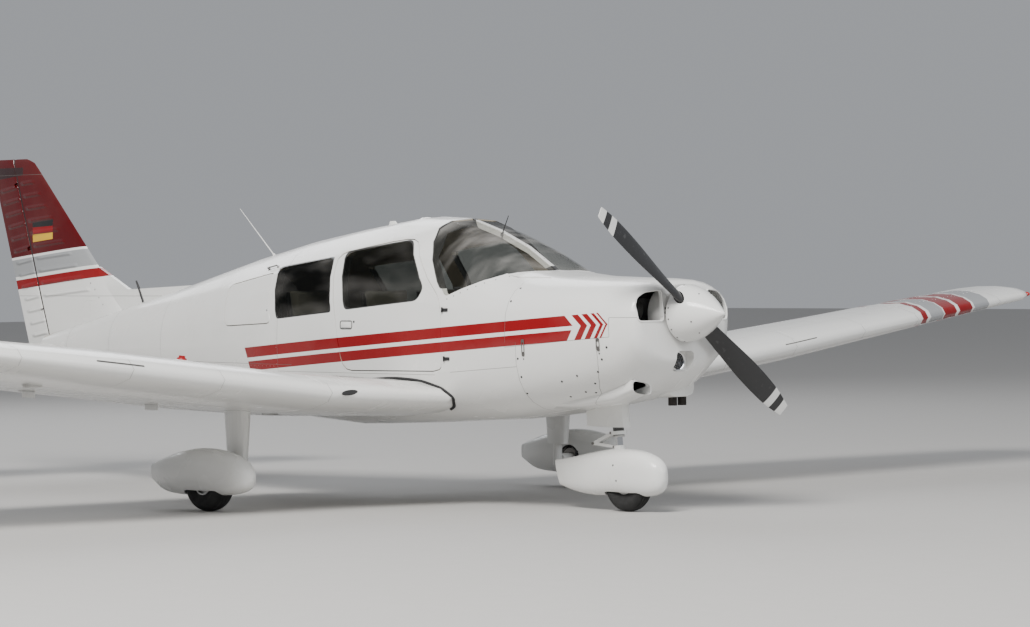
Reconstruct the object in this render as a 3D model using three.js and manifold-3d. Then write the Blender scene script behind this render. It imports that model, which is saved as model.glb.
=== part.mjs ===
// A light aircraft with four seats, a low wing, one engine and a fixed nose-wheel gear.
// Millimetres: +X is forward, +Y is to port and +Z is up. The origin is on the ground under the
// middle of the aircraft. A station is a distance aft of the spinner's tip.

import * as THREE from 'three';
import { mergeVertices } from 'three/addons/utils/BufferGeometryUtils.js';
import Module from 'manifold-3d';

const wasm = await Module();
wasm.setup();

// Driving dimensions
const noseX = 3625;
const seam = 0.4;
const runningGap = 6;
// Boxes that cut reach past the skin: to each side, below and above
const farY = 700;
const farLow = 400;
const farHigh = 1900;

// Fuselage sections: station, halfWidth, zBelly, zWide, zTop, nLower, nUpper.
// Each is two half superellipses that meet at the widest height.
const fuselageStations = [
  [335, 322, 900, 1115, 1334, 2.3, 2.3],
  [350, 372, 868, 1112, 1350, 2.4, 2.4],
  [385, 406, 826, 1110, 1361, 2.45, 2.5],
  [520, 448, 712, 1100, 1370, 2.6, 2.5],
  [760, 490, 646, 1085, 1375, 2.8, 2.7],
  [1100, 530, 590, 1060, 1386, 3.0, 2.8],
  [1400, 548, 549, 1040, 1419, 3.2, 2.7],
  [1650, 556, 525, 1030, 1562, 3.3, 2.5],
  [1900, 560, 514, 1025, 1664, 3.4, 2.5],
  [2150, 562, 500, 1020, 1738, 3.4, 2.6],
  [2420, 562, 486, 1010, 1752, 3.4, 2.8],
  [2940, 552, 466, 1000, 1690, 3.3, 2.8],
  [3450, 505, 492, 985, 1622, 3.0, 2.6],
  [4050, 432, 556, 960, 1516, 2.6, 2.4],
  [4920, 300, 640, 930, 1330, 2.3, 2.2],
  [6000, 160, 742, 900, 1108, 2.2, 2.1],
  [6700, 75, 796, 885, 970, 2.1, 2.0],
];
const sectionSides = 28;
const liningSides = 16;
const cabinWall = 40;
const cabinFloorZ = 620;
const cowlWall = 16;
const tailWall = 8;
const glassDepth = [5, 13];
const cabinSpan = [1210, 4240];
const noseBowlStation = 335;
const firewallStation = 1200;
const firewallThickness = 8;
const firewallGap = 2.4;
const cowlTopAftStation = 1285;
const baggageAftStation = 4250;
const cowlSplitFront = { station: 505, z: 1146 };
const cowlSplitRear = [[505, 1035], [800, 1012], [1300, 970]];
// One cooling inlet's rim from ahead, as y and z on the port side
const inletRim = [[165, 1124], [358, 1124], [366, 1212], [342, 1260], [292, 1291], [185, 1302]];
const inletCorner = 26;
const inletSpan = [280, 540];
const noseHoleRadius = 130;
const lamp = { front: 388, rear: 440, z: 888, radius: 58 };
const lampOpening = { sides: [-62, 76], corner: 30 };
// The starboard scoop and the port fairing under the cowling
const scoop = { front: 480, rear: 1170, y: -206, halfWidth: 80, bottom: 705, top: 781, wall: 11 };
const scoopLean = 0.17;
const blister = { front: 570, rear: 990, y: 206, halfWidth: 106, bottom: 670, top: 820 };
const boxiness = 0.5;
const exhaust = { station: 634, y: [194, 271], bottom: 619, radius: 26, holeGap: 4, joint: [800, 840] };
const engine = { front: 520, rear: 1080, halfWidth: 330, bottom: 862, top: 1250 };
const engineMount = { ends: [[-230, 900], [230, 900], [-230, 1200], [230, 1200]], radius: 14 };

// Windows in side view: station and height of each corner
const windshieldOutline = [
  [1350, 1500], [1350, 1426], [1433, 1409], [1596, 1349], [1825, 1267],
  [1990, 1458], [2098, 1625], [2150, 1705], [2120, 1840],
];
const frontWindowOutline = [[2063, 1249], [2734, 1193], [2829, 1536], [2250, 1606], [2026, 1321]];
const rearWindowOutline = [[2876, 1177], [3462, 1133], [3560, 1446], [2940, 1508]];
const windowCorner = 55;
const rearWindowCorner = 40;
const windshieldCorner = 30;
const centrePostHalfWidth = 14;

// Doors turn about a leaning line at their front edge. Their outlines are radius and height in
// the plane of that line, so each edge is a surface of revolution about the hinge.
const cabinDoorHinge = { station: 1820, y: -568, z: 1000, leanAft: 3, leanInboard: 5 };
const cabinDoorOutline = [
  [12, -178], [949, -136], [1064, 600], [372, 660], [222, 458], [40, 270], [8, 190],
];
const cabinDoorCorner = 90;
const cabinDoorGap = 6;
const doorSweep = [-8, 48];
const doorSweepSteps = 12;
const doorSweepMargin = 1.5;
const baggageHinge = { station: 3532, y: -506, z: 1100, leanAft: 3, leanInboard: 12 };
const baggageOutline = [[8, 0], [560, 20], [600, 300], [66, 340]];
const baggageCorner = 45;
const baggageGap = 6;

// Wing sections: y, leading edge station, leading edge z, chord, thickness ratio, pitch in degrees
const wingStations = [
  [380, 1790, 655, 1820, 0.118, 4.5],
  [520, 1800, 664, 1810, 0.120, 4.5],
  [1251, 2010, 714, 1600, 0.146, 4.5],
  [2697, 2010, 891, 1600, 0.144, 4.5],
  [5224, 2220, 1183, 1067, 0.112, 1.5],
  [5300, 2262, 1193, 960, 0.098, 1.5],
  [5335, 2330, 1200, 780, 0.055, 1.5],
];
const wingCamber = 0.022;
const airfoilPoints = 10;
const flap = {
  from: 640, to: 2688, hinge: 0.81, gap: 7, pin: 4, depth: 9, at: [0.06, 0.5, 0.94], notch: [16, 18],
};
const aileron = {
  from: 2726, to: 5010, hingeFrom: 0.83, hingeTo: 0.77, gap: 10, pin: 4, depth: 8, at: [0.1, 0.5, 0.9],
};
// A hinge bracket: a plate round the pin in a slot, with the lengths that each runs past the pin
const bracket = { slotHalf: 13, plateHalf: 6, slotPast: 13, platePast: 5, root: 30, clear: 4 };
const tieDown = { station: 2640, y: 2950, size: 40, depth: 14 };

// Tail: the fin and rudder share sections of z, leading edge station, trailing edge station, ratio
const finStations = [
  [815, 5350, 6781, 0.075],
  [1300, 5830, 6944, 0.085],
  [2130, 6671, 7223, 0.085],
  [2185, 6730, 7241, 0.075],
  [2215, 6810, 7250, 0.035],
];
const rudderChord = 255;
const rudderNoseRadius = 31;
const rudderHinge = { gap: 10, pin: 4, depth: 9, at: [0.23, 0.52, 0.82], endGap: 200 };
const dorsalOutline = [[4860, 1300], [4920, 1334], [5647, 1306], [6000, 1466], [6000, 1100], [5400, 1180]];
const dorsalHalfWidth = 14;
const tailConeEnd = 6600;
const tailRing = { front: 6380, rear: 6430, halfWidth: 14, bottom: 742 };
const stabilator = { halfSpan: 1980, cutOut: 152, leading: 6270, chord: 760, z: 905, ratio: 0.09 };
const stabilatorHinge = 6460;
const stabilatorTube = 22;
const tab = { halfSpan: 1500, station: 6905, gap: 7, pin: 3, depth: 5, at: [0.04, 0.3, 0.7, 0.96] };
const tabBridge = { front: 40, rear: 4, halfThickness: 2 };

// Propeller
const axisZ = 1165;
const propellerStation = 256;
const propellerTilt = 0.9;
const spinnerBase = 316;
const spinnerRadius = 166;
const spinnerHole = 54;
const spinnerPlate = 12;
const spinnerWall = 6;
const hubRadius = 84;
const hubFront = 42;
const shaftRadius = 52;
// Blade sections: radius, chord, thickness, blade angle in degrees
const bladeSections = [
  [60, 96, 66, 60],
  [180, 100, 42, 47],
  [330, 112, 27, 35],
  [560, 134, 18, 25],
  [780, 125, 13, 19],
  [900, 90, 9, 16],
  [940, 75, 6, 15],
];

// Gear
const noseWheel = { station: 810, radius: 172, halfWidth: 55, rim: 70, rimHalf: 44 };
const mainWheel = { station: 2840, y: 1525, radius: 180, halfWidth: 72, rim: 82, rimHalf: 58 };
const axleRadius = 16;
const treadGap = 9.5;
const steeringFoot = { station: 868, z: 200 };
const steeringRake = 5.07;
const noseLeg = {
  low: { z: 494, front: 810, rear: 1160, halfWidth: 62 },
  high: { z: 720, front: 832, rear: 1178, halfWidth: 66 },
  oleo: { radius: 33, from: 446, to: 800 },
  piston: { radius: 21, from: 360, to: 630, bore: [400, 640] },
  brace: { station: 920, z: [775, 800], y: 150, radius: 15 },
};
// The fork from ahead as y and z, and from the side as station and z
const forkWall = 8;
const forkTop = [[62, 312], [38, 350]];
const forkSide = [[782, 150], [782, 196], [836, 330], [836, 362], [928, 362], [928, 330], [838, 150]];
const forkFoot = 150;
const forkBossEnds = { z: [353, 386], radius: [38, 34] };
const torqueLink = {
  apex: [1093, 392], lower: [900, 370, 384], upper: [928, 450, 468], halfWidth: 17,
  collar: [449, 470], radius: 46,
};
const mainLeg = {
  y: 1316,
  low: { z: 290, front: 2752, rear: 2932, halfWidth: 38 },
  high: { z: 640, front: 2716, rear: 2960, halfWidth: 48 },
  knuckle: { station: 2836, z: 400, radius: 30 },
  flangeRadius: 46,
};
// Wheel pants: station from the axle, halfWidth, zBottom, zTop, lean of the top aft of the bottom
const nosePantSections = [
  [-300, 12, 186, 240, 0],
  [-284, 46, 138, 284, 0],
  [-222, 76, 102, 328, 0],
  [-100, 92, 92, 362, 0],
  [80, 93, 94, 368, 0],
  [280, 78, 88, 342, 0],
  [470, 44, 108, 306, 20],
  [605, 14, 137, 285, 43],
];
const mainPantSections = [
  [-410, 8, 190, 216, 0],
  [-385, 48, 150, 262, 0],
  [-300, 86, 116, 322, 0],
  [-150, 104, 99, 362, 0],
  [40, 107, 94, 376, 0],
  [240, 94, 92, 352, 0],
  [420, 58, 112, 308, 0],
  [567, 8, 176, 262, 0],
];
const brakeOpening = 92;
const pantRoundness = 0.78;

// Cabin: each seat as name, front station and sides
const seatPlaces = [
  ['front_seat_left', 2160, 45, 410],
  ['front_seat_right', 2160, -410, -45],
  ['rear_seat', 2960, -355, 355],
];
const cushionTop = 850;
const backTop = 1360;
const panel = { front: 1760, rear: 1800, bottom: 900, top: 1300 };
const controls = { y: 240, z: 1120, reach: 1975, radius: 14, halfWidth: 140, hornTop: 1190 };

// Materials
const white = paint('#f2f1ee', 0.3);
const glass = new THREE.MeshStandardMaterial({
  color: '#8c9aa0', roughness: 0.05, transparent: true, opacity: 0.35,
});
const tyreRubber = paint('#1b1b1c', 0.85);
const darkMetal = paint('#3a3b3d', 0.5, 0.6);
const bareMetal = paint('#b9bbbd', 0.35, 0.9);
const bladePaint = paint('#4a4b4d', 0.45);
const seatCloth = paint('#4a4744', 0.9);
const panelPlastic = paint('#26272a', 0.7);
const lampGlass = paint('#c9ced1', 0.15);

function paint(color, roughness, metalness = 0) {
  return new THREE.MeshStandardMaterial({ color, roughness, metalness });
}

const group = new THREE.Group();

// Solids

function solidOf(geometry) {
  const bare = geometry.clone();
  bare.deleteAttribute('normal');
  bare.deleteAttribute('uv');
  const merged = mergeVertices(bare, 0.001);
  const points = merged.attributes.position.array;
  const index = Array.from(merged.index.array);
  if (signedVolume(points, index) < 0) {
    for (let i = 0; i < index.length; i += 3) {
      [index[i + 1], index[i + 2]] = [index[i + 2], index[i + 1]];
    }
  }
  const mesh = new wasm.Mesh({
    numProp: 3,
    vertProperties: new Float32Array(points),
    triVerts: new Uint32Array(index),
  });
  return new wasm.Manifold(mesh);
}

function signedVolume(points, index) {
  const corner = (i) => new THREE.Vector3().fromArray(points, 3 * index[i]);
  let sum = 0;
  for (let i = 0; i < index.length; i += 3) {
    sum += corner(i).dot(corner(i + 1).cross(corner(i + 2)));
  }
  return sum;
}

// A cut can leave slivers beside the piece itself, which is the largest body
function addPiece(name, solid, material) {
  const [body] = solid.decompose().sort((a, b) => b.volume() - a.volume());
  const raw = body.getMesh();
  const geometry = new THREE.BufferGeometry();
  geometry.setAttribute('position', new THREE.BufferAttribute(raw.vertProperties, 3));
  geometry.setIndex(new THREE.BufferAttribute(raw.triVerts, 1));
  const mesh = new THREE.Mesh(geometry, material);
  mesh.name = name;
  group.add(mesh);
}

function union(solids) {
  return solids.reduce((sum, solid) => sum.add(solid));
}

// Rings are lists of points, all with the same count, joined in order and closed at both ends.
function loftSolid(rings) {
  const count = rings[0].length;
  const points = rings.flat();
  const index = [];
  for (let r = 0; r + 1 < rings.length; r += 1) {
    for (let i = 0; i < count; i += 1) {
      const j = (i + 1) % count;
      const [a, b, c, d] = [r * count + i, r * count + j, (r + 1) * count + i, (r + 1) * count + j];
      index.push(a, b, d, a, d, c);
    }
  }
  [0, rings.length - 1].forEach((r) => {
    const centre = new THREE.Vector3();
    rings[r].forEach((p) => centre.addScaledVector(p, 1 / count));
    const hub = points.push(centre) - 1;
    for (let i = 0; i < count; i += 1) {
      const [a, b] = [r * count + i, r * count + ((i + 1) % count)];
      index.push(...(r === 0 ? [hub, b, a] : [hub, a, b]));
    }
  });
  const geometry = new THREE.BufferGeometry().setFromPoints(points);
  geometry.setIndex(index);
  return solidOf(geometry);
}

function blendRow(table, value) {
  const last = table.length - 2;
  let k = 0;
  while (k < last && value > table[k + 1][0]) {
    k += 1;
  }
  const t = (value - table[k][0]) / (table[k + 1][0] - table[k][0]);
  return table[k].map((v, i) => v + t * (table[k + 1][i] - v));
}

function rowsBetween(table, from, to) {
  const inside = table.filter((row) => row[0] > from + 1 && row[0] < to - 1);
  return [blendRow(table, from), ...inside, blendRow(table, to)];
}

function power(value, exponent) {
  return Math.sign(value) * Math.abs(value) ** exponent;
}

function sectionRing(row, inset, sides) {
  const [station, halfWidth, zBelly, zWide, zTop, nLower, nUpper] = row;
  return Array.from({ length: sides }, (_, i) => {
    const angle = (2 * Math.PI * i) / sides;
    const upper = Math.sin(angle) >= 0;
    const n = upper ? nUpper : nLower;
    const reach = (upper ? zTop - zWide : zWide - zBelly) - inset;
    const y = (halfWidth - inset) * power(Math.cos(angle), 2 / n);
    const z = zWide + reach * power(Math.sin(angle), 2 / n);
    return new THREE.Vector3(noseX - station, y, z);
  });
}

function fuselageSolid(from, to, inset, sides = sectionSides) {
  return loftSolid(rowsBetween(fuselageStations, from, to).map((row) => sectionRing(row, inset, sides)));
}

function boxBetween(low, high) {
  const size = high.map((v, i) => v - low[i]);
  const geometry = new THREE.BoxGeometry(...size);
  geometry.translate(...high.map((v, i) => (v + low[i]) / 2));
  return solidOf(geometry);
}

// A box given by its front and rear stations, its sides and its heights
function stationBox(front, rear, right, left, bottom, top) {
  return boxBetween([noseX - rear, right, bottom], [noseX - front, left, top]);
}

function place(station, y, z) {
  return new THREE.Vector3(noseX - station, y, z);
}

function rod(from, to, radiusFrom, radiusTo = radiusFrom, sides = 20) {
  const span = new THREE.Vector3().subVectors(to, from);
  const geometry = new THREE.CylinderGeometry(radiusTo, radiusFrom, span.length(), sides);
  const axis = new THREE.Vector3(0, 1, 0);
  geometry.applyQuaternion(new THREE.Quaternion().setFromUnitVectors(axis, span.clone().normalize()));
  geometry.translate(...from.clone().addScaledVector(span, 0.5).toArray());
  return solidOf(geometry);
}

// A closed outline with every corner rounded
function roundedShape(corners, radius) {
  const points = corners.map(([x, y]) => new THREE.Vector2(x, y));
  const shape = new THREE.Shape();
  points.forEach((corner, i) => {
    const before = points[(i + points.length - 1) % points.length];
    const after = points[(i + 1) % points.length];
    const reach = Math.min(radius, 0.45 * corner.distanceTo(before), 0.45 * corner.distanceTo(after));
    const start = corner.clone().lerp(before, reach / corner.distanceTo(before));
    const end = corner.clone().lerp(after, reach / corner.distanceTo(after));
    if (i === 0) {
      shape.moveTo(start.x, start.y);
    } else {
      shape.lineTo(start.x, start.y);
    }
    shape.quadraticCurveTo(corner.x, corner.y, end.x, end.y);
  });
  shape.closePath();
  return shape;
}

// A prism across the aircraft from a side view outline of station and z
function sidePrism(outline, radius, from, to) {
  const corners = outline.map(([station, z]) => [noseX - station, z]);
  const options = { depth: to - from, bevelEnabled: false, curveSegments: 3 };
  const geometry = new THREE.ExtrudeGeometry(roundedShape(corners, radius), options);
  geometry.rotateX(Math.PI / 2);
  geometry.translate(0, to, 0);
  return solidOf(geometry);
}

// A prism along the aircraft from a front view outline of y and z
function frontPrism(outline, radius, front, rear) {
  const options = { depth: rear - front, bevelEnabled: false, curveSegments: 4 };
  const geometry = new THREE.ExtrudeGeometry(roundedShape(outline, radius), options);
  geometry.rotateX(Math.PI / 2);
  geometry.rotateZ(Math.PI / 2);
  geometry.translate(noseX - rear, 0, 0);
  return solidOf(geometry);
}

// The same outline moved in by a distance on every side
function insetOutline(outline, distance) {
  const area = outline.reduce((sum, [x, y], i) => {
    const [u, v] = outline[(i + 1) % outline.length];
    return sum + x * v - u * y;
  }, 0);
  const side = Math.sign(area);
  const normal = ([x, y], [u, v]) => {
    const length = Math.hypot(u - x, v - y);
    return [(-side * (v - y)) / length, (side * (u - x)) / length];
  };
  return outline.map((corner, i) => {
    const before = outline[(i + outline.length - 1) % outline.length];
    const after = outline[(i + 1) % outline.length];
    const [a, b] = [normal(before, corner), normal(corner, after)];
    const scale = distance / (1 + a[0] * b[0] + a[1] * b[1]);
    return [corner[0] + scale * (a[0] + b[0]), corner[1] + scale * (a[1] + b[1])];
  });
}

// Wing sections

function airfoilHalf(x, ratio) {
  const curve = 0.2969 * Math.sqrt(x) - 0.126 * x - 0.3516 * x ** 2 + 0.2843 * x ** 3 - 0.1036 * x ** 4;
  return 5 * ratio * curve + 0.0015 * x;
}

function airfoilPoint(row, x, level) {
  const [y, leading, z, chord, ratio, pitch] = row;
  const turn = THREE.MathUtils.degToRad(pitch);
  const height = 4 * wingCamber * x * (1 - x) + level * airfoilHalf(x, ratio);
  const along = chord * (x * Math.cos(turn) + height * Math.sin(turn));
  const up = chord * (height * Math.cos(turn) - x * Math.sin(turn));
  return place(leading + along, y, z + up);
}

// From the trailing edge over the top to the leading edge and back below, as x and level
function airfoilPath() {
  const xs = Array.from({ length: airfoilPoints }, (_, i) => {
    return 0.5 * (1 + Math.cos((Math.PI * i) / (airfoilPoints - 1)));
  });
  const upper = xs.map((x) => [x, 1]);
  const lower = xs.slice(0, -1).reverse().map((x) => [x, -1]);
  return [...upper, ...lower];
}

function mirrored(point, side) {
  return new THREE.Vector3(point.x, side * point.y, point.z);
}

function wingSolid(side) {
  const path = airfoilPath();
  return loftSolid(wingStations.map((row) => {
    return path.map(([x, level]) => mirrored(airfoilPoint(row, x, level), side));
  }));
}

// Axes of a hinge line: aft across it, along it and up
function hingeFrame(from, to) {
  const along = new THREE.Vector3().subVectors(to, from).normalize();
  const aft = new THREE.Vector3(-1, 0, 0);
  aft.addScaledVector(along, -aft.dot(along)).normalize();
  const up = new THREE.Vector3().crossVectors(aft, along);
  if (up.z < 0) {
    up.negate();
  }
  return { along, matrix: new THREE.Matrix4().makeBasis(aft, along, up) };
}

function frameBox(matrix, point, low, high) {
  const geometry = new THREE.BoxGeometry(...high.map((v, i) => v - low[i]));
  geometry.translate(...high.map((v, i) => (v + low[i]) / 2));
  geometry.applyMatrix4(matrix.clone().setPosition(point));
  return solidOf(geometry);
}

// What a control surface takes from its wing: a nose about the hinge and all that lies behind it
function hingeCutter(from, to, radiusFrom, radiusTo, extra) {
  const [height, length] = [320, 640];
  const { along, matrix } = hingeFrame(from, to);
  const start = from.clone().addScaledVector(along, -extra);
  const end = to.clone().addScaledVector(along, extra);
  const nose = rod(start, end, radiusFrom, radiusTo, 20);
  const far = [length, from.distanceTo(to) + extra, height];
  return nose.add(frameBox(matrix, from, [0, -extra, -height], far));
}

// Each bracket reaches from the fixed part to a pin across a notch in the moving part's nose
function joinHinge(parts, from, to, style) {
  const { along, matrix } = hingeFrame(from, to);
  const { pin, depth, reach, gap, notch } = style;
  const { slotHalf, plateHalf, slotPast, platePast, root, clear } = bracket;
  style.at.forEach((t) => {
    const point = from.clone().lerp(to, t);
    const across = (half, radius) => {
      const offset = along.clone().multiplyScalar(half);
      return rod(point.clone().sub(offset), point.clone().add(offset), radius, radius, 8);
    };
    const [below, above] = notch ?? [reach + clear / 2, reach + clear / 2];
    const slotLow = [-reach - clear, -slotHalf, -below];
    const slot = frameBox(matrix, point, slotLow, [pin + slotPast, slotHalf, above]);
    const plateLow = [-reach - gap - root, -plateHalf, -depth];
    const plate = frameBox(matrix, point, plateLow, [pin + platePast, plateHalf, depth]);
    parts.moving = parts.moving.subtract(slot).add(across(slotHalf + 2 * clear, pin));
    parts.fixed = parts.fixed.add(plate.subtract(across(slotHalf, pin + seam)));
  });
  return parts;
}

function splitControl(whole, from, to, radiusFrom, radiusTo, style) {
  const { gap, endGap = runningGap } = style;
  const parts = {
    moving: whole.intersect(hingeCutter(from, to, radiusFrom, radiusTo, 0)),
    fixed: whole.subtract(hingeCutter(from, to, radiusFrom + gap, radiusTo + gap, endGap)),
  };
  return joinHinge(parts, from, to, { reach: Math.max(radiusFrom, radiusTo), ...style });
}

// Doors

function hingeLine({ station, y, z, leanAft, leanInboard }) {
  const up = new THREE.Vector3(
    -Math.tan(THREE.MathUtils.degToRad(leanAft)),
    Math.tan(THREE.MathUtils.degToRad(leanInboard)),
    1,
  );
  return { point: place(station, y, z), up: up.normalize() };
}

// The outline swept about the hinge, from outside the skin to past the roof's edge
function doorCutter(hinge, outline, corner, margin) {
  const { point, up } = hingeLine(hinge);
  const profile = roundedShape(outline, corner).getPoints(3).slice(0, -1);
  const angles = Array.from({ length: doorSweepSteps + 1 }, (_, i) => {
    return doorSweep[0] - margin + ((doorSweep[1] - doorSweep[0] + 2 * margin) * i) / doorSweepSteps;
  });
  return loftSolid(angles.map((angle) => {
    const out = new THREE.Vector3(-1, 0, 0);
    out.addScaledVector(up, -out.dot(up)).normalize();
    out.applyAxisAngle(up, THREE.MathUtils.degToRad(-angle));
    return profile.map(({ x, y }) => point.clone().addScaledVector(out, x).addScaledVector(up, y));
  }));
}

// Fuselage

const outer = (from, to) => fuselageSolid(from, to, 0);
const skinBetween = ([near, deep]) => {
  return fuselageSolid(...cabinSpan, near).subtract(fuselageSolid(...cabinSpan, deep));
};

const cabinInside = fuselageSolid(firewallStation - 20, baggageAftStation - cabinWall, cabinWall, liningSides)
  .intersect(stationBox(1000, 4400, -farY, farY, cabinFloorZ, farHigh));
const cowlTopBox = stationBox(200, cowlTopAftStation + seam, -farY, farY, 1000, farHigh);
const leafCutter = (hinge, outline, corner, gap) => {
  return doorCutter(hinge, insetOutline(outline, gap), corner - 5, 0);
};
const doorOpening = doorCutter(cabinDoorHinge, cabinDoorOutline, cabinDoorCorner, doorSweepMargin);
const doorSolid = leafCutter(cabinDoorHinge, cabinDoorOutline, cabinDoorCorner, cabinDoorGap);
const baggageOpening = doorCutter(baggageHinge, baggageOutline, baggageCorner, doorSweepMargin);
const baggageSolid = leafCutter(baggageHinge, baggageOutline, baggageCorner, baggageGap);

const windowReach = (side, from) => (side > 0 ? [from, farY] : [-farY, -from]);
const windowCut = (outline, corner, side) => sidePrism(outline, corner, ...windowReach(side, 200));
const windshieldCut = (side) => {
  return sidePrism(windshieldOutline, windshieldCorner, ...windowReach(side, centrePostHalfWidth));
};
const pane = (outline, corner, side, from) => {
  const cutter = sidePrism(insetOutline(outline, seam), corner, ...windowReach(side, from));
  return skinBetween(glassDepth).intersect(cutter);
};

const cabinWalls = outer(firewallStation + seam, baggageAftStation)
  .subtract(cabinInside)
  .subtract(cowlTopBox);

addPiece(
  'cabin_shell',
  cabinWalls
    .subtract(doorOpening)
    .subtract(baggageOpening)
    .subtract(windowCut(frontWindowOutline, windowCorner, 1))
    .subtract(windowCut(rearWindowOutline, rearWindowCorner, 1))
    .subtract(windowCut(rearWindowOutline, rearWindowCorner, -1))
    .subtract(windshieldCut(1))
    .subtract(windshieldCut(-1)),
  white,
);
const doorWindowCut = windowCut(frontWindowOutline, windowCorner, -1);
addPiece('cabin_door', cabinWalls.intersect(doorSolid).subtract(doorWindowCut), white);
addPiece('baggage_door', cabinWalls.intersect(baggageSolid), white);
addPiece('cabin_door_window', pane(frontWindowOutline, windowCorner, -1, 200), glass);
addPiece('front_window_left', pane(frontWindowOutline, windowCorner, 1, 200), glass);
addPiece('rear_window_left', pane(rearWindowOutline, rearWindowCorner, 1, 200), glass);
addPiece('rear_window_right', pane(rearWindowOutline, rearWindowCorner, -1, 200), glass);
['left', 'right'].forEach((name, i) => {
  const half = pane(windshieldOutline, windshieldCorner, 1 - 2 * i, centrePostHalfWidth + seam);
  addPiece(`windshield_${name}`, half, glass);
});

addPiece(
  'firewall',
  fuselageSolid(firewallStation - firewallThickness, firewallStation, cowlWall + firewallGap, liningSides),
  darkMetal,
);

// Cowling: the lower half carries the nose bowl, with an air inlet on each side of the spinner
const inlet = (side) => {
  return frontPrism(inletRim.map(([y, z]) => [side * y, z]), inletCorner, ...inletSpan);
};
const noseHole = rod(place(200, 0, axisZ), place(500, 0, axisZ), noseHoleRadius);
const lampHole = frontPrism([
  [lampOpening.sides[0], lamp.z - lamp.radius - seam],
  [lampOpening.sides[1], lamp.z - lamp.radius - seam],
  [lampOpening.sides[1], lamp.z + lamp.radius + seam],
  [lampOpening.sides[0], lamp.z + lamp.radius + seam],
], lampOpening.corner, 250, lamp.rear + 26);
const lowerCowlBox = (grow) => {
  const front = cowlSplitFront.station + grow;
  const corners = [
    [100, farLow], [100, cowlSplitFront.z + grow], [front, cowlSplitFront.z + grow],
    ...cowlSplitRear.map(([station, z]) => [station + grow, z + grow]), [1300, farLow],
  ];
  return sidePrism(corners, 0.5, -farY, farY);
};
const cowlInside = fuselageSolid(noseBowlStation + 22, firewallStation + 200, cowlWall, liningSides);
const cowlShell = outer(noseBowlStation, cowlTopAftStation)
  .subtract(cowlInside)
  .subtract(inlet(1))
  .subtract(inlet(-1))
  .subtract(noseHole)
  .subtract(lampHole);

// Nose leg: a white fairing round the strut, with the strut's mount behind it
const steeringUp = new THREE.Vector3(-Math.tan(THREE.MathUtils.degToRad(steeringRake)), 0, 1).normalize();
const steeringPoint = (z) => {
  const foot = place(steeringFoot.station, 0, steeringFoot.z);
  return foot.addScaledVector(steeringUp, (z - steeringFoot.z) / steeringUp.z);
};
// A streamlined ring across a leg at one height
const legRing = ({ z, front, rear, halfWidth }, y) => {
  const widest = airfoilHalf(0.3, 1);
  return airfoilPath().map(([x, level]) => {
    return place(front + (rear - front) * x, y + level * halfWidth * (airfoilHalf(x, 1) / widest), z);
  });
};
const fairingSolid = (grow) => {
  const rings = [[noseLeg.low, -grow], [noseLeg.high, grow]];
  return loftSolid(rings.map(([{ z, front, rear, halfWidth }, rise]) => {
    return legRing({ z: z + rise, front: front - grow, rear: rear + grow, halfWidth: halfWidth + grow }, 0);
  }));
};
const { oleo, piston, brace } = noseLeg;
const oleoBore = rod(...piston.bore.map(steeringPoint), piston.radius + seam);
const braceRod = (side) => {
  const end = place(firewallStation, side * brace.y, brace.z[1]);
  return rod(place(brace.station, 0, brace.z[0]), end, brace.radius);
};
addPiece(
  'nose_leg',
  union([
    fairingSolid(0),
    rod(steeringPoint(oleo.from), steeringPoint(oleo.to), oleo.radius),
    braceRod(1),
    braceRod(-1),
  ])
    .subtract(oleoBore)
    .subtract(stationBox(firewallStation - firewallThickness - seam, 1300, -300, 300, 600, 900)),
  white,
);

// A box-like ring, lower on its port side by the lean
const boxRing = (y, station, halfWidth, bottom, top, lean = 0) => {
  const sides = 16;
  return Array.from({ length: sides }, (_, i) => {
    const angle = (2 * Math.PI * (i + 0.5)) / sides;
    const out = halfWidth * power(Math.cos(angle), boxiness);
    const z = (top + bottom) / 2 + ((top - bottom) / 2) * power(Math.sin(angle), boxiness);
    return place(station, y + out, z - lean * out);
  });
};
const scoopRing = (inward, aft, halfWidth, bottom, top) => {
  return boxRing(scoop.y + inward, scoop.front + aft, halfWidth, bottom, top, scoopLean);
};
const blisterRing = (aft, halfWidth, bottom, top) => {
  return boxRing(blister.y, blister.front + aft, halfWidth, bottom, top);
};
const scoopSolid = loftSolid([
  scoopRing(0, 0, scoop.halfWidth, scoop.bottom, scoop.top),
  scoopRing(-6, 160, scoop.halfWidth, scoop.bottom - 58, scoop.top - 4),
  scoopRing(-34, 430, scoop.halfWidth - 10, scoop.bottom - 90, scoop.top - 70),
  scoopRing(-60, scoop.rear - scoop.front, scoop.halfWidth - 24, scoop.bottom - 96, scoop.top - 96),
]);
const scoopBore = scoop.halfWidth - scoop.wall;
const scoopInside = loftSolid([
  scoopRing(0, -60, scoopBore, scoop.bottom + scoop.wall, scoop.top - scoop.wall),
  scoopRing(0, 150, scoopBore, scoop.bottom - 32, scoop.top - scoop.wall),
]);
const blisterSolid = loftSolid([
  blisterRing(0, blister.halfWidth - 4, blister.bottom + 4, blister.top),
  blisterRing(8, blister.halfWidth, blister.bottom, blister.top),
  blisterRing(240, blister.halfWidth, blister.bottom - 14, blister.top),
  blisterRing(blister.rear - blister.front, blister.halfWidth - 40, blister.bottom - 16, blister.top - 70),
]);

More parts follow.
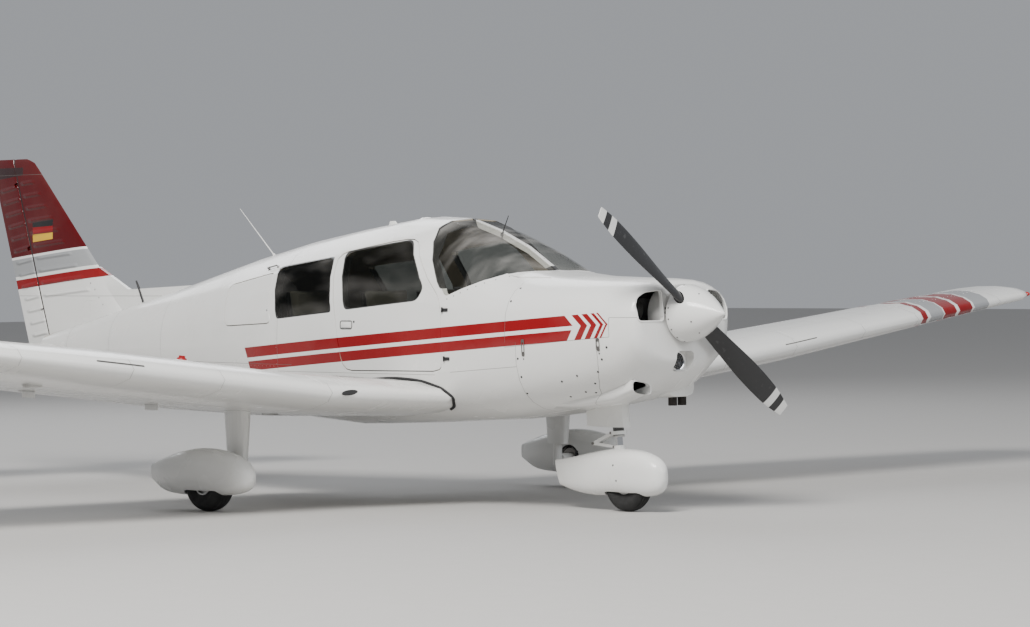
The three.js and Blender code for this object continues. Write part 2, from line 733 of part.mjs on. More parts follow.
const shaftRod = (front, rear, radius) => {
  return rod(place(front, 0, axisZ), place(rear, 0, axisZ), radius, radius, 24);
};
const shaftBore = shaftRod(engine.front - 10, engine.front + 40, shaftRadius + seam);
const mountTubes = engineMount.ends.map(([y, z]) => {
  const end = place(firewallStation - firewallThickness - seam, y, z);
  return rod(place(engine.rear - 20, y, z), end, engineMount.radius, engineMount.radius, 12);
});
const engineBlock = stationBox(
  engine.front, engine.rear, -engine.halfWidth, engine.halfWidth, engine.bottom, engine.top,
);
addPiece('engine', union([engineBlock, ...mountTubes]).subtract(shaftBore), darkMetal);

// Exhaust: two pipes from the engine through the fairing on the port side
const exhaustPipe = (y, grow) => {
  const [low, high] = [exhaust.bottom, engine.bottom - seam];
  const radius = exhaust.radius + grow;
  return rod(place(exhaust.station, y, low), place(exhaust.station, y, high), radius, radius, 14);
};
const exhaustBox = stationBox(exhaust.station - 20, exhaust.station + 20, ...exhaust.y, ...exhaust.joint);
addPiece('exhaust_pipes', union([exhaustBox, ...exhaust.y.map((y) => exhaustPipe(y, 0))]), darkMetal);

const lowerCowl = cowlShell
  .intersect(lowerCowlBox(0))
  .subtract(stationBox(firewallStation, 1400, -farY, farY, farLow, farHigh))
  .add(scoopSolid.subtract(cowlInside))
  .add(blisterSolid.subtract(cowlInside))
  .subtract(scoopInside)
  .subtract(fairingSolid(seam))
  .subtract(union(exhaust.y.map((y) => exhaustPipe(y, exhaust.holeGap))));
addPiece('cowl_lower', lowerCowl, white);

const upperCowl = cowlShell
  .subtract(lowerCowlBox(seam))
  .subtract(stationBox(cowlTopAftStation, 1400, -farY, farY, farLow, farHigh))
  .subtract(stationBox(firewallStation, 1400, -farY, farY, farLow, 1000 + seam));
addPiece('cowl_upper', upperCowl, white);

const lampBody = rod(place(lamp.front, 0, lamp.z), place(lamp.rear, 0, lamp.z), lamp.radius);
addPiece('landing_lamp', lampBody, lampGlass);

// Tail cone, fin and rudder
const hingeStation = (z) => blendRow(finStations, z)[2] - rudderChord;
const rudderFoot = place(hingeStation(822), 0, 822);
const rudderHead = place(hingeStation(2300), 0, 2300);
const finRings = finStations.map(([z, front, rear, ratio]) => {
  const chord = rear - front;
  return airfoilPath().map(([x, level]) => {
    return place(front + chord * x, level * chord * airfoilHalf(x, ratio), z);
  });
});
const rudderTopRadius = 0.72 * rudderNoseRadius;
const coveRadii = [rudderNoseRadius + rudderHinge.gap, rudderTopRadius + rudderHinge.gap];
const rudderCove = hingeCutter(rudderFoot, rudderHead, ...coveRadii, rudderHinge.endGap);
const dorsal = sidePrism(dorsalOutline, 20, -dorsalHalfWidth, dorsalHalfWidth);
const finParts = splitControl(
  loftSolid(finRings).add(dorsal), rudderFoot, rudderHead, rudderNoseRadius, rudderTopRadius, rudderHinge,
);
const tailSolid = fuselageSolid(baggageAftStation - 10, tailConeEnd, -seam);
const tubeAt = (radius) => {
  return rod(
    place(stabilatorHinge, -stabilator.cutOut - 40, stabilator.z),
    place(stabilatorHinge, stabilator.cutOut + 40, stabilator.z),
    radius,
  );
};
const ringSolid = stationBox(
  tailRing.front, tailRing.rear, -tailRing.halfWidth, tailRing.halfWidth, tailRing.bottom, stabilator.z,
);
addPiece(
  'tail_cone',
  outer(baggageAftStation + seam, tailConeEnd)
    .subtract(fuselageSolid(baggageAftStation - 10, tailConeEnd + 40, tailWall, liningSides))
    .add(ringSolid.subtract(fuselageSolid(6300, 6500, 2 * tailWall)))
    .subtract(rudderCove)
    .subtract(tubeAt(stabilatorTube + seam)),
  white,
);
addPiece('fin', finParts.fixed.subtract(tailSolid), white);
addPiece('rudder', finParts.moving, white);

// Stabilator: two halves on one tube, with a full-width tab on the trailing edge
const stabilatorRow = (y, inset) => {
  return [y, stabilator.leading + 0.35 * inset, stabilator.z, stabilator.chord - inset, stabilator.ratio];
};
const stabilatorHalf = (side) => {
  const rows = [
    stabilatorRow(stabilator.cutOut, 0),
    stabilatorRow(stabilator.halfSpan - 45, 0),
    stabilatorRow(stabilator.halfSpan, 110),
  ];
  return loftSolid(rows.map(([y, front, z, chord, ratio]) => {
    return airfoilPath().map(([x, level]) => {
      return place(front + chord * x, side * y, z + level * chord * airfoilHalf(x, ratio));
    });
  }));
};
const tabHinge = (y) => place(tab.station, y, stabilator.z);
const tabShare = (tab.station - stabilator.leading) / stabilator.chord;
const tabNose = stabilator.chord * airfoilHalf(tabShare, stabilator.ratio);
const stabilatorWhole = union([stabilatorHalf(1), stabilatorHalf(-1), tubeAt(stabilatorTube)]);
const tabParts = splitControl(
  stabilatorWhole, tabHinge(-tab.halfSpan), tabHinge(tab.halfSpan), tabNose, tabNose, tab,
);
const tabBridgeSolid = stationBox(
  tab.station + tabBridge.front, stabilator.leading + stabilator.chord - tabBridge.rear,
  -stabilator.cutOut - 10, stabilator.cutOut + 10,
  stabilator.z - tabBridge.halfThickness, stabilator.z + tabBridge.halfThickness,
);
addPiece('stabilator', tabParts.fixed, white);
addPiece('stabilator_tab', tabParts.moving.add(tabBridgeSolid), white);

// Wings with flaps and ailerons, and a tie-down pad under each
const fuselageEnvelope = fuselageSolid(...cabinSpan, -seam);
const bodyFill = stationBox(...cabinSpan, -430, 430, 300, 900);
const lowerSkin = (row, x) => airfoilPoint(row, x, -1);
['left', 'right'].forEach((name, i) => {
  const side = 1 - 2 * i;
  const rowAt = (y) => blendRow(wingStations, y);
  const flapHinge = (y) => mirrored(lowerSkin(rowAt(y), flap.hinge), side);
  const flapRadius = (y) => 2 * rowAt(y)[3] * airfoilHalf(flap.hinge, rowAt(y)[4]);
  const aileronHinge = (y, x) => mirrored(airfoilPoint(rowAt(y), x, 0), side);
  const aileronRadius = (y, x) => rowAt(y)[3] * airfoilHalf(x, rowAt(y)[4]);
  const flapParts = splitControl(
    wingSolid(side), flapHinge(flap.from), flapHinge(flap.to),
    flapRadius(flap.from), flapRadius(flap.to), flap,
  );
  const aileronParts = splitControl(
    flapParts.fixed,
    aileronHinge(aileron.from, aileron.hingeFrom), aileronHinge(aileron.to, aileron.hingeTo),
    aileronRadius(aileron.from, aileron.hingeFrom), aileronRadius(aileron.to, aileron.hingeTo), aileron,
  );
  const { station, y, size, depth } = tieDown;
  const [, leading, , chord] = wingStations[3];
  const skin = airfoilPoint(rowAt(y), (station - leading) / chord, -1);
  const pad = stationBox(
    station - size, station + size, side * y - size, side * y + size, skin.z - depth, skin.z + size,
  );
  addPiece(`wing_${name}`, aileronParts.fixed.subtract(fuselageEnvelope).subtract(bodyFill).add(pad), white);
  addPiece(`flap_${name}`, flapParts.moving, white);
  addPiece(`aileron_${name}`, aileronParts.moving, white);
});

// Propeller and spinner
const bladeRing = (row, side) => {
  const [radius, chord, thickness, angle] = row;
  const turn = THREE.MathUtils.degToRad(angle);
  const [s, c] = [side * Math.sin(propellerTilt), side * Math.cos(propellerTilt)];
  const out = new THREE.Vector3(0, -s, c);
  const chordWay = new THREE.Vector3(Math.sin(turn), -c * Math.cos(turn), -s * Math.cos(turn));
  const thickWay = new THREE.Vector3().crossVectors(out, chordWay);
  const sides = 14;
  return Array.from({ length: sides }, (_, i) => {
    const a = (2 * Math.PI * i) / sides;
    return place(propellerStation, 0, axisZ)
      .addScaledVector(out, radius)
      .addScaledVector(chordWay, 0.5 * chord * Math.cos(a))
      .addScaledVector(thickWay, 0.5 * thickness * Math.sin(a));
  });
};
const blade = (side, grow) => {
  return loftSolid(bladeSections.map(([radius, chord, thickness, angle]) => {
    return bladeRing([radius, chord + grow, thickness + grow, angle], side);
  }));
};
const hubEnds = [propellerStation - hubFront, spinnerBase - spinnerPlate - seam];
const hub = rod(...hubEnds.map((station) => place(station, 0, axisZ)), hubRadius, hubRadius, 28);
const shaft = shaftRod(propellerStation, engine.front + 34, shaftRadius);
addPiece('propeller', union([hub, shaft, blade(1, 0), blade(-1, 0)]), bladePaint);

const spinnerPoint = (t, wall) => {
  const radius = (spinnerRadius - wall) * Math.sin(0.5 * Math.PI * t);
  return [radius, (spinnerBase - wall) * (1 - t)];
};
const spinnerCurve = (wall, steps) => {
  return Array.from({ length: steps + 1 }, (_, i) => spinnerPoint(i / steps, wall));
};
const spinnerProfile = [
  ...spinnerCurve(0, 7),
  [spinnerHole, 0],
  [spinnerHole, spinnerPlate],
  ...spinnerCurve(spinnerWall, 4).reverse().map(([r, h]) => [r, Math.max(h, spinnerPlate)]),
];
const rootGrow = 12;
const spinnerPoints = spinnerProfile.map(([r, h]) => new THREE.Vector2(Math.max(r, 0), h));
const spinnerGeometry = new THREE.LatheGeometry(spinnerPoints, 24);
spinnerGeometry.rotateZ(-Math.PI / 2);
spinnerGeometry.translate(noseX - spinnerBase, 0, axisZ);
const spinnerCut = solidOf(spinnerGeometry).subtract(blade(1, rootGrow)).subtract(blade(-1, rootGrow));
addPiece('spinner', spinnerCut, bladePaint);

// Wheels

function wheelPiece(profile, station, y, z) {
  const points = profile.map(([r, h]) => new THREE.Vector2(r, h));
  const geometry = new THREE.LatheGeometry([...points, points[0]], 24);
  geometry.translate(noseX - station, y, z);
  return solidOf(geometry);
}

function tyreProfile({ radius, halfWidth, rim }) {
  const middle = (radius + rim) / 2;
  const steps = 7;
  const bead = 0.72 * halfWidth;
  const crown = Array.from({ length: steps }, (_, i) => {
    const a = -Math.PI / 2 + (Math.PI * i) / (steps - 1);
    return [middle + (radius - middle) * power(Math.cos(a), 0.8), halfWidth * power(Math.sin(a), 0.8)];
  });
  return [[rim + seam, -bead], ...crown, [rim + seam, bead]];
}

function hubProfile({ rim, rimHalf }) {
  const bore = axleRadius + seam;
  return [
    [bore, -rimHalf + 6], [rim - 12, -rimHalf + 16], [rim - 8, -rimHalf], [rim, -rimHalf],
    [rim, rimHalf], [rim - 8, rimHalf], [rim - 12, rimHalf - 16], [bore, rimHalf - 6],
  ];
}

// The room round a tyre: its own shape grown by a gap at the tread and one at each side
function tyreRoom({ radius, halfWidth, rim }, station, y, tread, sides) {
  const middle = (radius + rim) / 2;
  const steps = 5;
  const curve = Array.from({ length: steps }, (_, i) => {
    const a = -Math.PI / 2 + (Math.PI * i) / (steps - 1);
    const r = middle + (radius + tread - middle) * power(Math.cos(a), 0.7);
    return new THREE.Vector2(r, (halfWidth + sides) * power(Math.sin(a), 0.7));
  });
  const ends = [new THREE.Vector2(0, -halfWidth - sides), new THREE.Vector2(0, halfWidth + sides)];
  const geometry = new THREE.LatheGeometry([ends[0], ...curve, ends[1]], 26);
  geometry.translate(noseX - station, y, radius);
  return solidOf(geometry);
}

function pantSolid(sections, station, y) {
  const sides = 24;
  return loftSolid(sections.map(([offset, halfWidth, bottom, top, lean]) => {
    return Array.from({ length: sides }, (_, i) => {
      const a = (2 * Math.PI * (i + 0.5)) / sides;
      const level = 0.5 * power(Math.sin(a), pantRoundness);
      const z = (top + bottom) / 2 + (top - bottom) * level;
      return place(station + offset + lean * level, y + halfWidth * power(Math.cos(a), pantRoundness), z);
    });
  }));
}

function addWheel([kind, end], wheel, y) {
  const { station, radius } = wheel;
  addPiece(`${kind}_tyre${end}`, wheelPiece(tyreProfile(wheel), station, y, radius), tyreRubber);
  addPiece(`${kind}_hub${end}`, wheelPiece(hubProfile(wheel), station, y, radius), bareMetal);
}

addWheel(['nose', ''], noseWheel, 0);

// Nose fork: an arch over the tyre, with its axle, piston and torque link
const forkInner = noseWheel.halfWidth + runningGap + 1;
const forkOuter = forkInner + forkWall;
const archSide = (side) => [
  [side * forkOuter, forkFoot],
  [side * forkOuter, forkTop[0][1] + 6],
  [side * (forkTop[1][0] + 6), forkTop[1][1] + 10],
];
const archInside = (side) => [
  [side * forkTop[1][0], forkTop[1][1]],
  [side * forkInner, forkTop[0][1]],
  [side * forkInner, forkFoot],
];
const forkArch = [
  ...archSide(-1), ...archSide(1).reverse(), ...archInside(1).reverse(), ...archInside(-1),
];
const fork = (grow) => {
  const arch = frontPrism(insetOutline(forkArch, -grow), 1, 760, 960);
  const reach = forkOuter + 5;
  return arch.intersect(sidePrism(insetOutline(forkSide, -grow), 8, -reach, reach));
};
const forkBoss = (grow) => {
  const [low, high] = forkBossEnds.z;
  const [wide, narrow] = forkBossEnds.radius;
  return rod(steeringPoint(low - grow), steeringPoint(high + grow), wide + grow, narrow + grow, 12);
};
const { apex, lower, upper } = torqueLink;
const linkBar = (outline) => sidePrism(outline, 3, -torqueLink.halfWidth, torqueLink.halfWidth);
const lowerLink = linkBar([
  [lower[0], lower[1]], [lower[0], lower[2]], [apex[0], apex[1] + 12], [apex[0] + 8, apex[1] - 8],
]);
const upperLink = linkBar([
  [upper[0], upper[1]], [upper[0], upper[2]], [apex[0] + 8, apex[1] + 8], [apex[0] - 8, apex[1] - 10],
]);
const [collarLow, collarHigh] = torqueLink.collar;
const linkCollar = rod(steeringPoint(collarLow), steeringPoint(collarHigh), torqueLink.radius)
  .subtract(rod(steeringPoint(collarLow - 9), steeringPoint(collarHigh + 10), oleo.radius + 1));
const forkAxle = rod(
  place(noseWheel.station, -forkOuter, noseWheel.radius),
  place(noseWheel.station, forkOuter, noseWheel.radius),
  axleRadius, axleRadius, 14,
);
const pistonRod = rod(steeringPoint(piston.from), steeringPoint(piston.to), piston.radius);
addPiece(
  'nose_fork',
  union([fork(0), forkBoss(0), forkAxle, pistonRod, lowerLink, upperLink, linkCollar]),
  bareMetal,
);
addPiece(
  'nose_pant',
  pantSolid(nosePantSections, noseWheel.station, 0)
    .subtract(tyreRoom(noseWheel, noseWheel.station, 0, treadGap, runningGap + 2))
    .subtract(fork(seam))
    .subtract(forkBoss(seam)),
  white,
);

// Main gear: streamlined leg, knuckle and axle, pant, tyre and hub
['left', 'right'].forEach((name, i) => {
  const side = 1 - 2 * i;
  const y = side * mainWheel.y;
  const legY = side * mainLeg.y;
  const { knuckle, flangeRadius } = mainLeg;
  const axleZ = mainWheel.radius;
  const onAxle = (at, z = axleZ) => place(mainWheel.station, at, z);
  const sideGap = runningGap + 3;
  const axleEnd = y + side * (mainWheel.halfWidth + sideGap);
  const flangeEnd = y - side * (mainWheel.halfWidth + sideGap + seam);
  const inboard = legY + side * 20;
  const legSolid = union([
    loftSolid([legRing(mainLeg.low, legY), legRing(mainLeg.high, legY)]),
    rod(place(knuckle.station, legY, knuckle.z), onAxle(legY, axleZ - knuckle.radius), knuckle.radius),
    rod(onAxle(inboard), onAxle(flangeEnd), flangeRadius),
    rod(onAxle(legY), onAxle(axleEnd), axleRadius),
  ]);
  addPiece(`main_leg_${name}`, legSolid.subtract(wingUnderside(side)), white);
  addPiece(
    `main_pant_${name}`,
    pantSolid(mainPantSections, mainWheel.station, y)
      .subtract(tyreRoom(mainWheel, mainWheel.station, y, treadGap, sideGap + seam))
      .subtract(rod(onAxle(inboard), onAxle(y), brakeOpening)),
    white,
  );
  addWheel(['main', `_${name}`], mainWheel, y);
});

function wingUnderside(side) {
  const path = airfoilPath();
  const grown = wingStations.slice(2, 4).map(([y, front, z, ...rest]) => [y, front, z - seam, ...rest]);
  return loftSolid(grown.map((row) => {
    return path.map(([x, level]) => mirrored(airfoilPoint(row, x, level), side));
  }));
}

// Cabin: seats and instrument panel with two control wheels
const seatOutline = (front) => [
  [front, cabinFloorZ + seam], [front, cushionTop], [front + 420, cushionTop - 20], [front + 520, backTop],
  [front + 610, backTop], [front + 540, cushionTop - 60], [front + 520, cabinFloorZ + seam],
];
seatPlaces.forEach(([name, front, from, to]) => {
  addPiece(name, sidePrism(seatOutline(front), 30, from, to), seatCloth);
});

const panelSides = fuselageSolid(...cabinSpan, cabinWall + seam, liningSides);
const controlWheel = (y) => {
  const { z, reach, radius, halfWidth, hornTop } = controls;
  const bar = (from, to, top) => stationBox(reach - 30, reach, y + from, y + to, z - radius, top);
  return union([
    rod(place(panel.rear - 5, y, z), place(reach - 15, y, z), radius),
    bar(-halfWidth, halfWidth, z + radius),
    bar(-halfWidth, 28 - halfWidth, hornTop),
    bar(halfWidth - 28, halfWidth, hornTop),
  ]);
};
addPiece(
  'instrument_panel',
  panelSides
    .intersect(stationBox(panel.front, panel.rear, -farY, farY, panel.bottom, panel.top))
    .add(controlWheel(controls.y))
    .add(controlWheel(-controls.y)),
  panelPlastic,
);

export default group;
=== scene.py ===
import math

import bmesh
import bpy
from mathutils import Matrix, Vector
from mathutils.bvhtree import BVHTree


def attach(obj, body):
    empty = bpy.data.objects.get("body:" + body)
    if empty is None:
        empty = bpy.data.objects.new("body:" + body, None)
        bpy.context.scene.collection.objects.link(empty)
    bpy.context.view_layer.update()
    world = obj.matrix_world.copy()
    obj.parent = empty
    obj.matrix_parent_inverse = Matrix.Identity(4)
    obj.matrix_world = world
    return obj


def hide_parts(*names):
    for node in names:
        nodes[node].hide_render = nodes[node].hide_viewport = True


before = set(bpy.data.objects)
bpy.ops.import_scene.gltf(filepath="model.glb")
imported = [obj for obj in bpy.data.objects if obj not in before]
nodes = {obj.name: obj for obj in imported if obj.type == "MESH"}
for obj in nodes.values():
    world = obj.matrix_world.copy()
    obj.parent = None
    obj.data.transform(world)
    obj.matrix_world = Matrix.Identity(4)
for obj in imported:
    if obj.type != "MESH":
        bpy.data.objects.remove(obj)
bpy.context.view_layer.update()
noseX = 3.625  # a station is metres aft of the spinner's tip
axisZ = 1.165


def at(station, y, z):
    return Vector((noseX - station, y, z))


def newMeshes(count):
    return [bmesh.new() for index in range(count)]


def addObject(name, data):
    made = bpy.data.objects.new(name, data)
    bpy.context.collection.objects.link(made)
    return made


def meshOf(name, bm):
    mesh = bpy.data.meshes.new(name)
    bm.to_mesh(mesh)
    bm.free()
    return mesh


wayAft, wayPort, wayUp = Vector((-1, 0, 0)), Vector((0, 1, 0)), Vector((0, 0, 1))


# Cosine and sine of each of some even steps round a circle
def circle(count, start=0.0):
    turns = [2 * math.pi * (k + start) / count for k in range(count)]
    return [(math.cos(a), math.sin(a)) for a in turns]


# Camera, floor and lights

view = {
    "place": (19.714, -16.249, 1.520),
    "yaw": 0.8330,
    "pitch": -0.0150,
    "roll": -0.0110,
    "lens": 139.8,
}


def makeCamera():
    cosPitch = math.cos(view["pitch"])
    yaw = view["yaw"]
    ahead = Vector((-math.sin(yaw) * cosPitch, math.cos(yaw) * cosPitch, math.sin(view["pitch"])))
    level = ahead.cross(wayUp).normalized()
    over = level.cross(ahead)
    c, s = math.cos(view["roll"]), math.sin(view["roll"])
    right, up = c * level + s * over, c * over - s * level
    data = bpy.data.cameras.new("camera")
    data.lens = view["lens"]
    data.sensor_width = 36
    data.clip_end = 300
    camera = addObject("camera", data)
    turn = Matrix((right, up, -ahead)).transposed().to_4x4()
    camera.matrix_world = Matrix.Translation(view["place"]) @ turn
    bpy.context.scene.camera = camera


studio = {
    "key": {"place": (9, -13, 15), "size": (9, 6), "power": 6400, "color": (1.0, 0.98, 0.95)},
    "front": {"place": (19, 5, 9), "size": (9, 9), "power": 1000, "color": (0.93, 0.96, 1.0)},
    "rear": {"place": (-13, 6, 10), "size": (12, 8), "power": 1000, "color": (0.95, 0.97, 1.0)},
    "sky": (0.86, 0.89, 0.94),
    "skyStrength": 0.42,
    "floor": (0.47, 0.46, 0.445),
}


def makeStudio():
    for name in ("key", "front", "rear"):
        spec = studio[name]
        light = bpy.data.lights.new(name, "AREA")
        light.shape = "RECTANGLE"
        light.size, light.size_y = spec["size"]
        light.energy = spec["power"]
        light.color = spec["color"]
        lamp = addObject(name, light)
        lamp.location = spec["place"]
        aim = wayUp - Vector(spec["place"])
        lamp.rotation_euler = aim.to_track_quat("-Z", "Y").to_euler()
    world = bpy.data.worlds.new("studio")
    world.use_nodes = True
    sky = world.node_tree
    fill(sky, sky.nodes["Background"], {"Color": studio["sky"], "Strength": studio["skyStrength"]})
    bpy.context.scene.world = world
    bm = bmesh.new()
    bmesh.ops.create_grid(bm, x_segments=1, y_segments=1, size=60)
    floor = addObject("floor", meshOf("floor", bm))
    material, tree, shader = newMaterial("floor")
    darker = tuple(0.94 * part for part in studio["floor"])
    shade = mixColor(noise(tree, 6.0, 4), studio["floor"], darker)
    fill(tree, shader, {"Base Color": shade, "Roughness": 0.8})
    floor.data.materials.append(material)


# Shader helpers

# A value in a node tree: arithmetic adds Math nodes, and & | ~ join and invert masks
class Field:
    def __init__(self, tree, socket):
        self.tree, self.socket = tree, socket

    def __add__(self, other):
        return calc("ADD", self, other)

    def __sub__(self, other):
        return calc("SUBTRACT", self, other)

    def __rsub__(self, other):
        return calc("SUBTRACT", other, self)

    def __mul__(self, other):
        return calc("MULTIPLY", self, other)

    def __and__(self, other):
        return calc("MULTIPLY", self, other)

    def __or__(self, other):
        return calc("MAXIMUM", self, other)

    def __abs__(self):
        return calc("ABSOLUTE", self)

    def __invert__(self):
        return 1.0 - self

    def ramp(self, low, high, start=0.0, end=1.0, **settings):
        return field(self.tree, "MapRange", [self, low, high, start, end], **settings)

    # 1 where the value is over edge, with a narrow soft step
    def above(self, edge, soft=0.0006):
        return (self - edge).ramp(-soft, soft)

    def within(self, low, high, soft=0.0006):
        return self.above(low, soft) & ~self.above(high, soft)

    def lineAt(self, *edges, half=0.0013):
        return either(*[self.within(edge - half, edge + half, 0.0005) for edge in edges])


def fill(tree, node, values):
    for name, value in values.items():
        socket = node.inputs[name]
        if isinstance(value, Field):
            tree.links.new(value.socket, socket)
        elif socket.type == "RGBA" and len(value) == 3:
            socket.default_value = (*value, 1)
        else:
            socket.default_value = value


def addNode(tree, kind, values=(), **settings):
    node = tree.nodes.new("ShaderNode" + kind)
    for name, value in settings.items():
        setattr(node, name, value)
    fill(tree, node, values if isinstance(values, dict) else dict(enumerate(values)))
    return node


def field(tree, kind, values=(), output=0, **settings):
    return Field(tree, addNode(tree, kind, values, **settings).outputs[output])


def calc(operation, *values):
    tree = next(value.tree for value in values if isinstance(value, Field))
    return field(tree, "Math", values, operation=operation)


def either(*masks):
    total = masks[0]
    for mask in masks[1:]:
        total = total | mask
    return total


# A sloped line: start + rate * (value - origin)
def slope(value, start, rate, origin):
    return calc("MULTIPLY_ADD", value, rate, start - rate * origin)


def newMaterial(name):
    material = bpy.data.materials.new(name)
    material.use_nodes = True
    tree = material.node_tree
    return material, tree, tree.nodes["Principled BSDF"]


def mixColor(mask, first, second):
    return field(mask.tree, "Mix", {"Factor": mask, "A": first, "B": second}, "Result", data_type="RGBA")


def coordinates(tree, kind="Object"):
    split = addNode(tree, "SeparateXYZ", [field(tree, "TexCoord", output=kind)])
    return [Field(tree, socket) for socket in split.outputs]


# Station, y and z of the surface, in metres
def stations(tree):
    x, y, z = coordinates(tree)
    return noseX - x, y, z


def noise(tree, scale, detail=3, stretch=None):
    where = field(tree, "TexCoord", output="Object")
    if stretch:
        where = field(tree, "Mapping", {"Vector": where, "Scale": stretch})
    return field(tree, "TexNoise", {"Vector": where, "Scale": scale, "Detail": detail}, "Fac")


def bump(height, distance, normal=None):
    values = {"Height": height, "Distance": distance}
    if normal:
        values["Normal"] = normal
    return field(height.tree, "Bump", values, "Normal")


# Shared effects, as node groups

def makeGroup(name, kinds, build):
    group = bpy.data.node_groups.new(name, "ShaderNodeTree")
    for label, kind in kinds.items():
        group.interface.new_socket(name=label, in_out="OUTPUT", socket_type=kind)
    fill(group, group.nodes.new("NodeGroupOutput"), build(group))
    return group


def wearEffect(tree):
    s, y, z = stations(tree)
    patches = noise(tree, 2.2, 5).ramp(0.45, 0.75)
    streaks = noise(tree, 1.6, 4, (1.5, 9, 0.8)).ramp(0.5, 0.8)
    dirt = z.ramp(0.95, 0.35) * 0.25 + streaks * 0.35 + patches * 0.45
    return {"Dirt": dirt, "Normal": bump(noise(tree, 3.2, 1), 0.0035)}


def grainEffect(tree):
    return {"Value": noise(tree, 18.0, 4).ramp(0.35, 0.7), "Normal": bump(noise(tree, 420.0, 2), 0.0003)}


makeCamera()
makeStudio()
wear = makeGroup("wear", {"Dirt": "NodeSocketFloat", "Normal": "NodeSocketVector"}, wearEffect)
grain = makeGroup("grain", {"Value": "NodeSocketFloat", "Normal": "NodeSocketVector"}, grainEffect)
print("studio ready")


def useGroup(tree, group):
    return [Field(tree, socket) for socket in addNode(tree, "Group", node_tree=group).outputs]


# Paint

colors = {
    "white": (0.80, 0.80, 0.78),
    "grime": (0.42, 0.39, 0.34),
    "line": (0.16, 0.15, 0.14),
    "seal": (0.03, 0.03, 0.03),
    "walkway": (0.03, 0.03, 0.032),
    # painted shade in the fin and rudder's hinge gap
    "hingeGapShade": (0.02, 0.012, 0.012),
    "rudderHead": (0.03, 0.012, 0.013),
    "legFitting": (0.07, 0.07, 0.07),
    "red": (0.085, 0.0006, 0.002),
    "stripeRed": (0.240, 0.0006, 0.003),
    "grey": (0.33, 0.34, 0.35),
    "lining": (0.52, 0.46, 0.37),
    "black": (0.012, 0.012, 0.013),
    "gold": (0.70, 0.42, 0.03),
}
paint = {
    "roughness": (0.2, 0.42),
    "specular": 0.35,
    "coat": 0.2,
    "coatRoughness": 0.06,
    "lineDepth": 0.0012,
    "beadHeight": 0.010,
}


def finishPaint(tree, shader, color, lines=None, ribs=None, gap=None):
    dirt, normal = useGroup(tree, wear)
    if ribs:
        normal = bump(ribs, paint["beadHeight"], normal)
    if lines:
        color = mixColor(lines * 0.75, color, colors["line"])
        normal = bump(~lines, paint["lineDepth"], normal)
    rough = dirt.ramp(0.0, 1.0, *paint["roughness"])
    for mask in (lines, gap):
        if mask:
            rough = rough | mask * 0.9
    fill(tree, shader, {
        "Base Color": mixColor(dirt * 0.10, color, colors["grime"]),
        "Normal": normal,
        "Roughness": rough,
        "Specular IOR Level": paint["specular"],
        "Coat Weight": paint["coat"],
        "Coat Roughness": paint["coatRoughness"],
    })


# Each edge: height, rate and station; the bands' slanted rear end: station, rate and height
sideStripes = {
    "upTop": (1.1575, -0.0716, 0.822),
    "upBottom": (1.099, -0.0725, 0.756),
    "lowTop": (1.0755, -0.0725, 0.755),
    "lowBottom": (1.011, -0.0724, 0.804),
    "front": 0.751,
    "rear": (3.837, 0.387, 0.939),
    "chevrons": [(0.652, 0.699), (0.587, 0.627), (0.538, 0.562), (0.509, 0.523)],
    "point": (1.101, -0.06, 0.652),
    "fold": (-1.06, -0.63),
    "soft": 0.0008,
}


def stripeMask(s, z):
    soft = sideStripes["soft"]
    underTop, underUpper, overLower, overBottom = [
        z.above(slope(s, *sideStripes[key]), soft) for key in ("upTop", "upBottom", "lowTop", "lowBottom")
    ]
    point = slope(s, *sideStripes["point"])
    over, under = calc("MAXIMUM", z - point, 0.0), calc("MAXIMUM", point - z, 0.0)
    folded = over * sideStripes["fold"][0] + (under * sideStripes["fold"][1] + s)
    rear = ~s.above(slope(z, *sideStripes["rear"]), soft)
    bands = folded.above(sideStripes["front"], soft) & ~(overLower & ~underUpper) & rear
    chevrons = either(*[folded.within(low, high, soft) for low, high in sideStripes["chevrons"]])
    return ~underTop & overBottom & (bands | chevrons)


# Station and height of each corner, and how far the corners are eased
windowOutlines = [
    ([(2.063, 1.249), (2.734, 1.193), (2.829, 1.536), (2.250, 1.606), (2.026, 1.321)], 0.05),
    ([(2.876, 1.177), (3.462, 1.133), (3.560, 1.446), (2.940, 1.508)], 0.04),
    (
        [
            (1.350, 1.880), (1.350, 1.426), (1.433, 1.409), (1.596, 1.349), (1.825, 1.267),
            (1.990, 1.458), (2.098, 1.625), (2.150, 1.705), (2.120, 1.880),
        ],
        0.025,
    ),
]
sealBand = (-0.03, 0.007)


# Positive outside a convex outline of station and z, negative inside
def outlineDistance(s, z, corners, ease):
    edges = list(zip(corners, corners[1:] + corners[:1]))
    side = 1 if sum(a[0] * b[1] - b[0] * a[1] for a, b in edges) > 0 else -1
    total = None
    for (s1, z1), (s2, z2) in edges:
        length = math.hypot(s2 - s1, z2 - z1)
        ns, nz = side * (z2 - z1) / length, -side * (s2 - s1) / length
        part = s * ns + (z * nz - (ns * s1 + nz * z1))
        total = part if total is None else calc("SMOOTH_MAX", total, part, ease)
    return total


# Skin laps and joints. Each lap: height, rate, station; then where it starts and ends
fuselageJoints = {
    "laps": [
        ((1.035, -0.078, 0.505), 0.505, 0.800),
        ((1.012, -0.084, 0.800), 0.800, 1.290),
        ((0.858, -0.072, 1.197), 1.200, 1.760),
        ((0.800, 0.0, 0.0), 1.900, 3.440),
    ],
    "tailRings": [3.452, 4.925, 5.62, 6.2],
    "tailFloor": 0.842,
    "tailFrom": 3.3,
    "bowl": {"station": 0.599, "top": 0.95, "bend": 2.0, "z": (0.60, 1.03)},
    "firewall": {"lower": 1.2006, "upper": 1.2852, "z": 1.0},
    "nose": {"z": 1.1462, "station": 0.505, "step": (1.035, 1.146)},
}


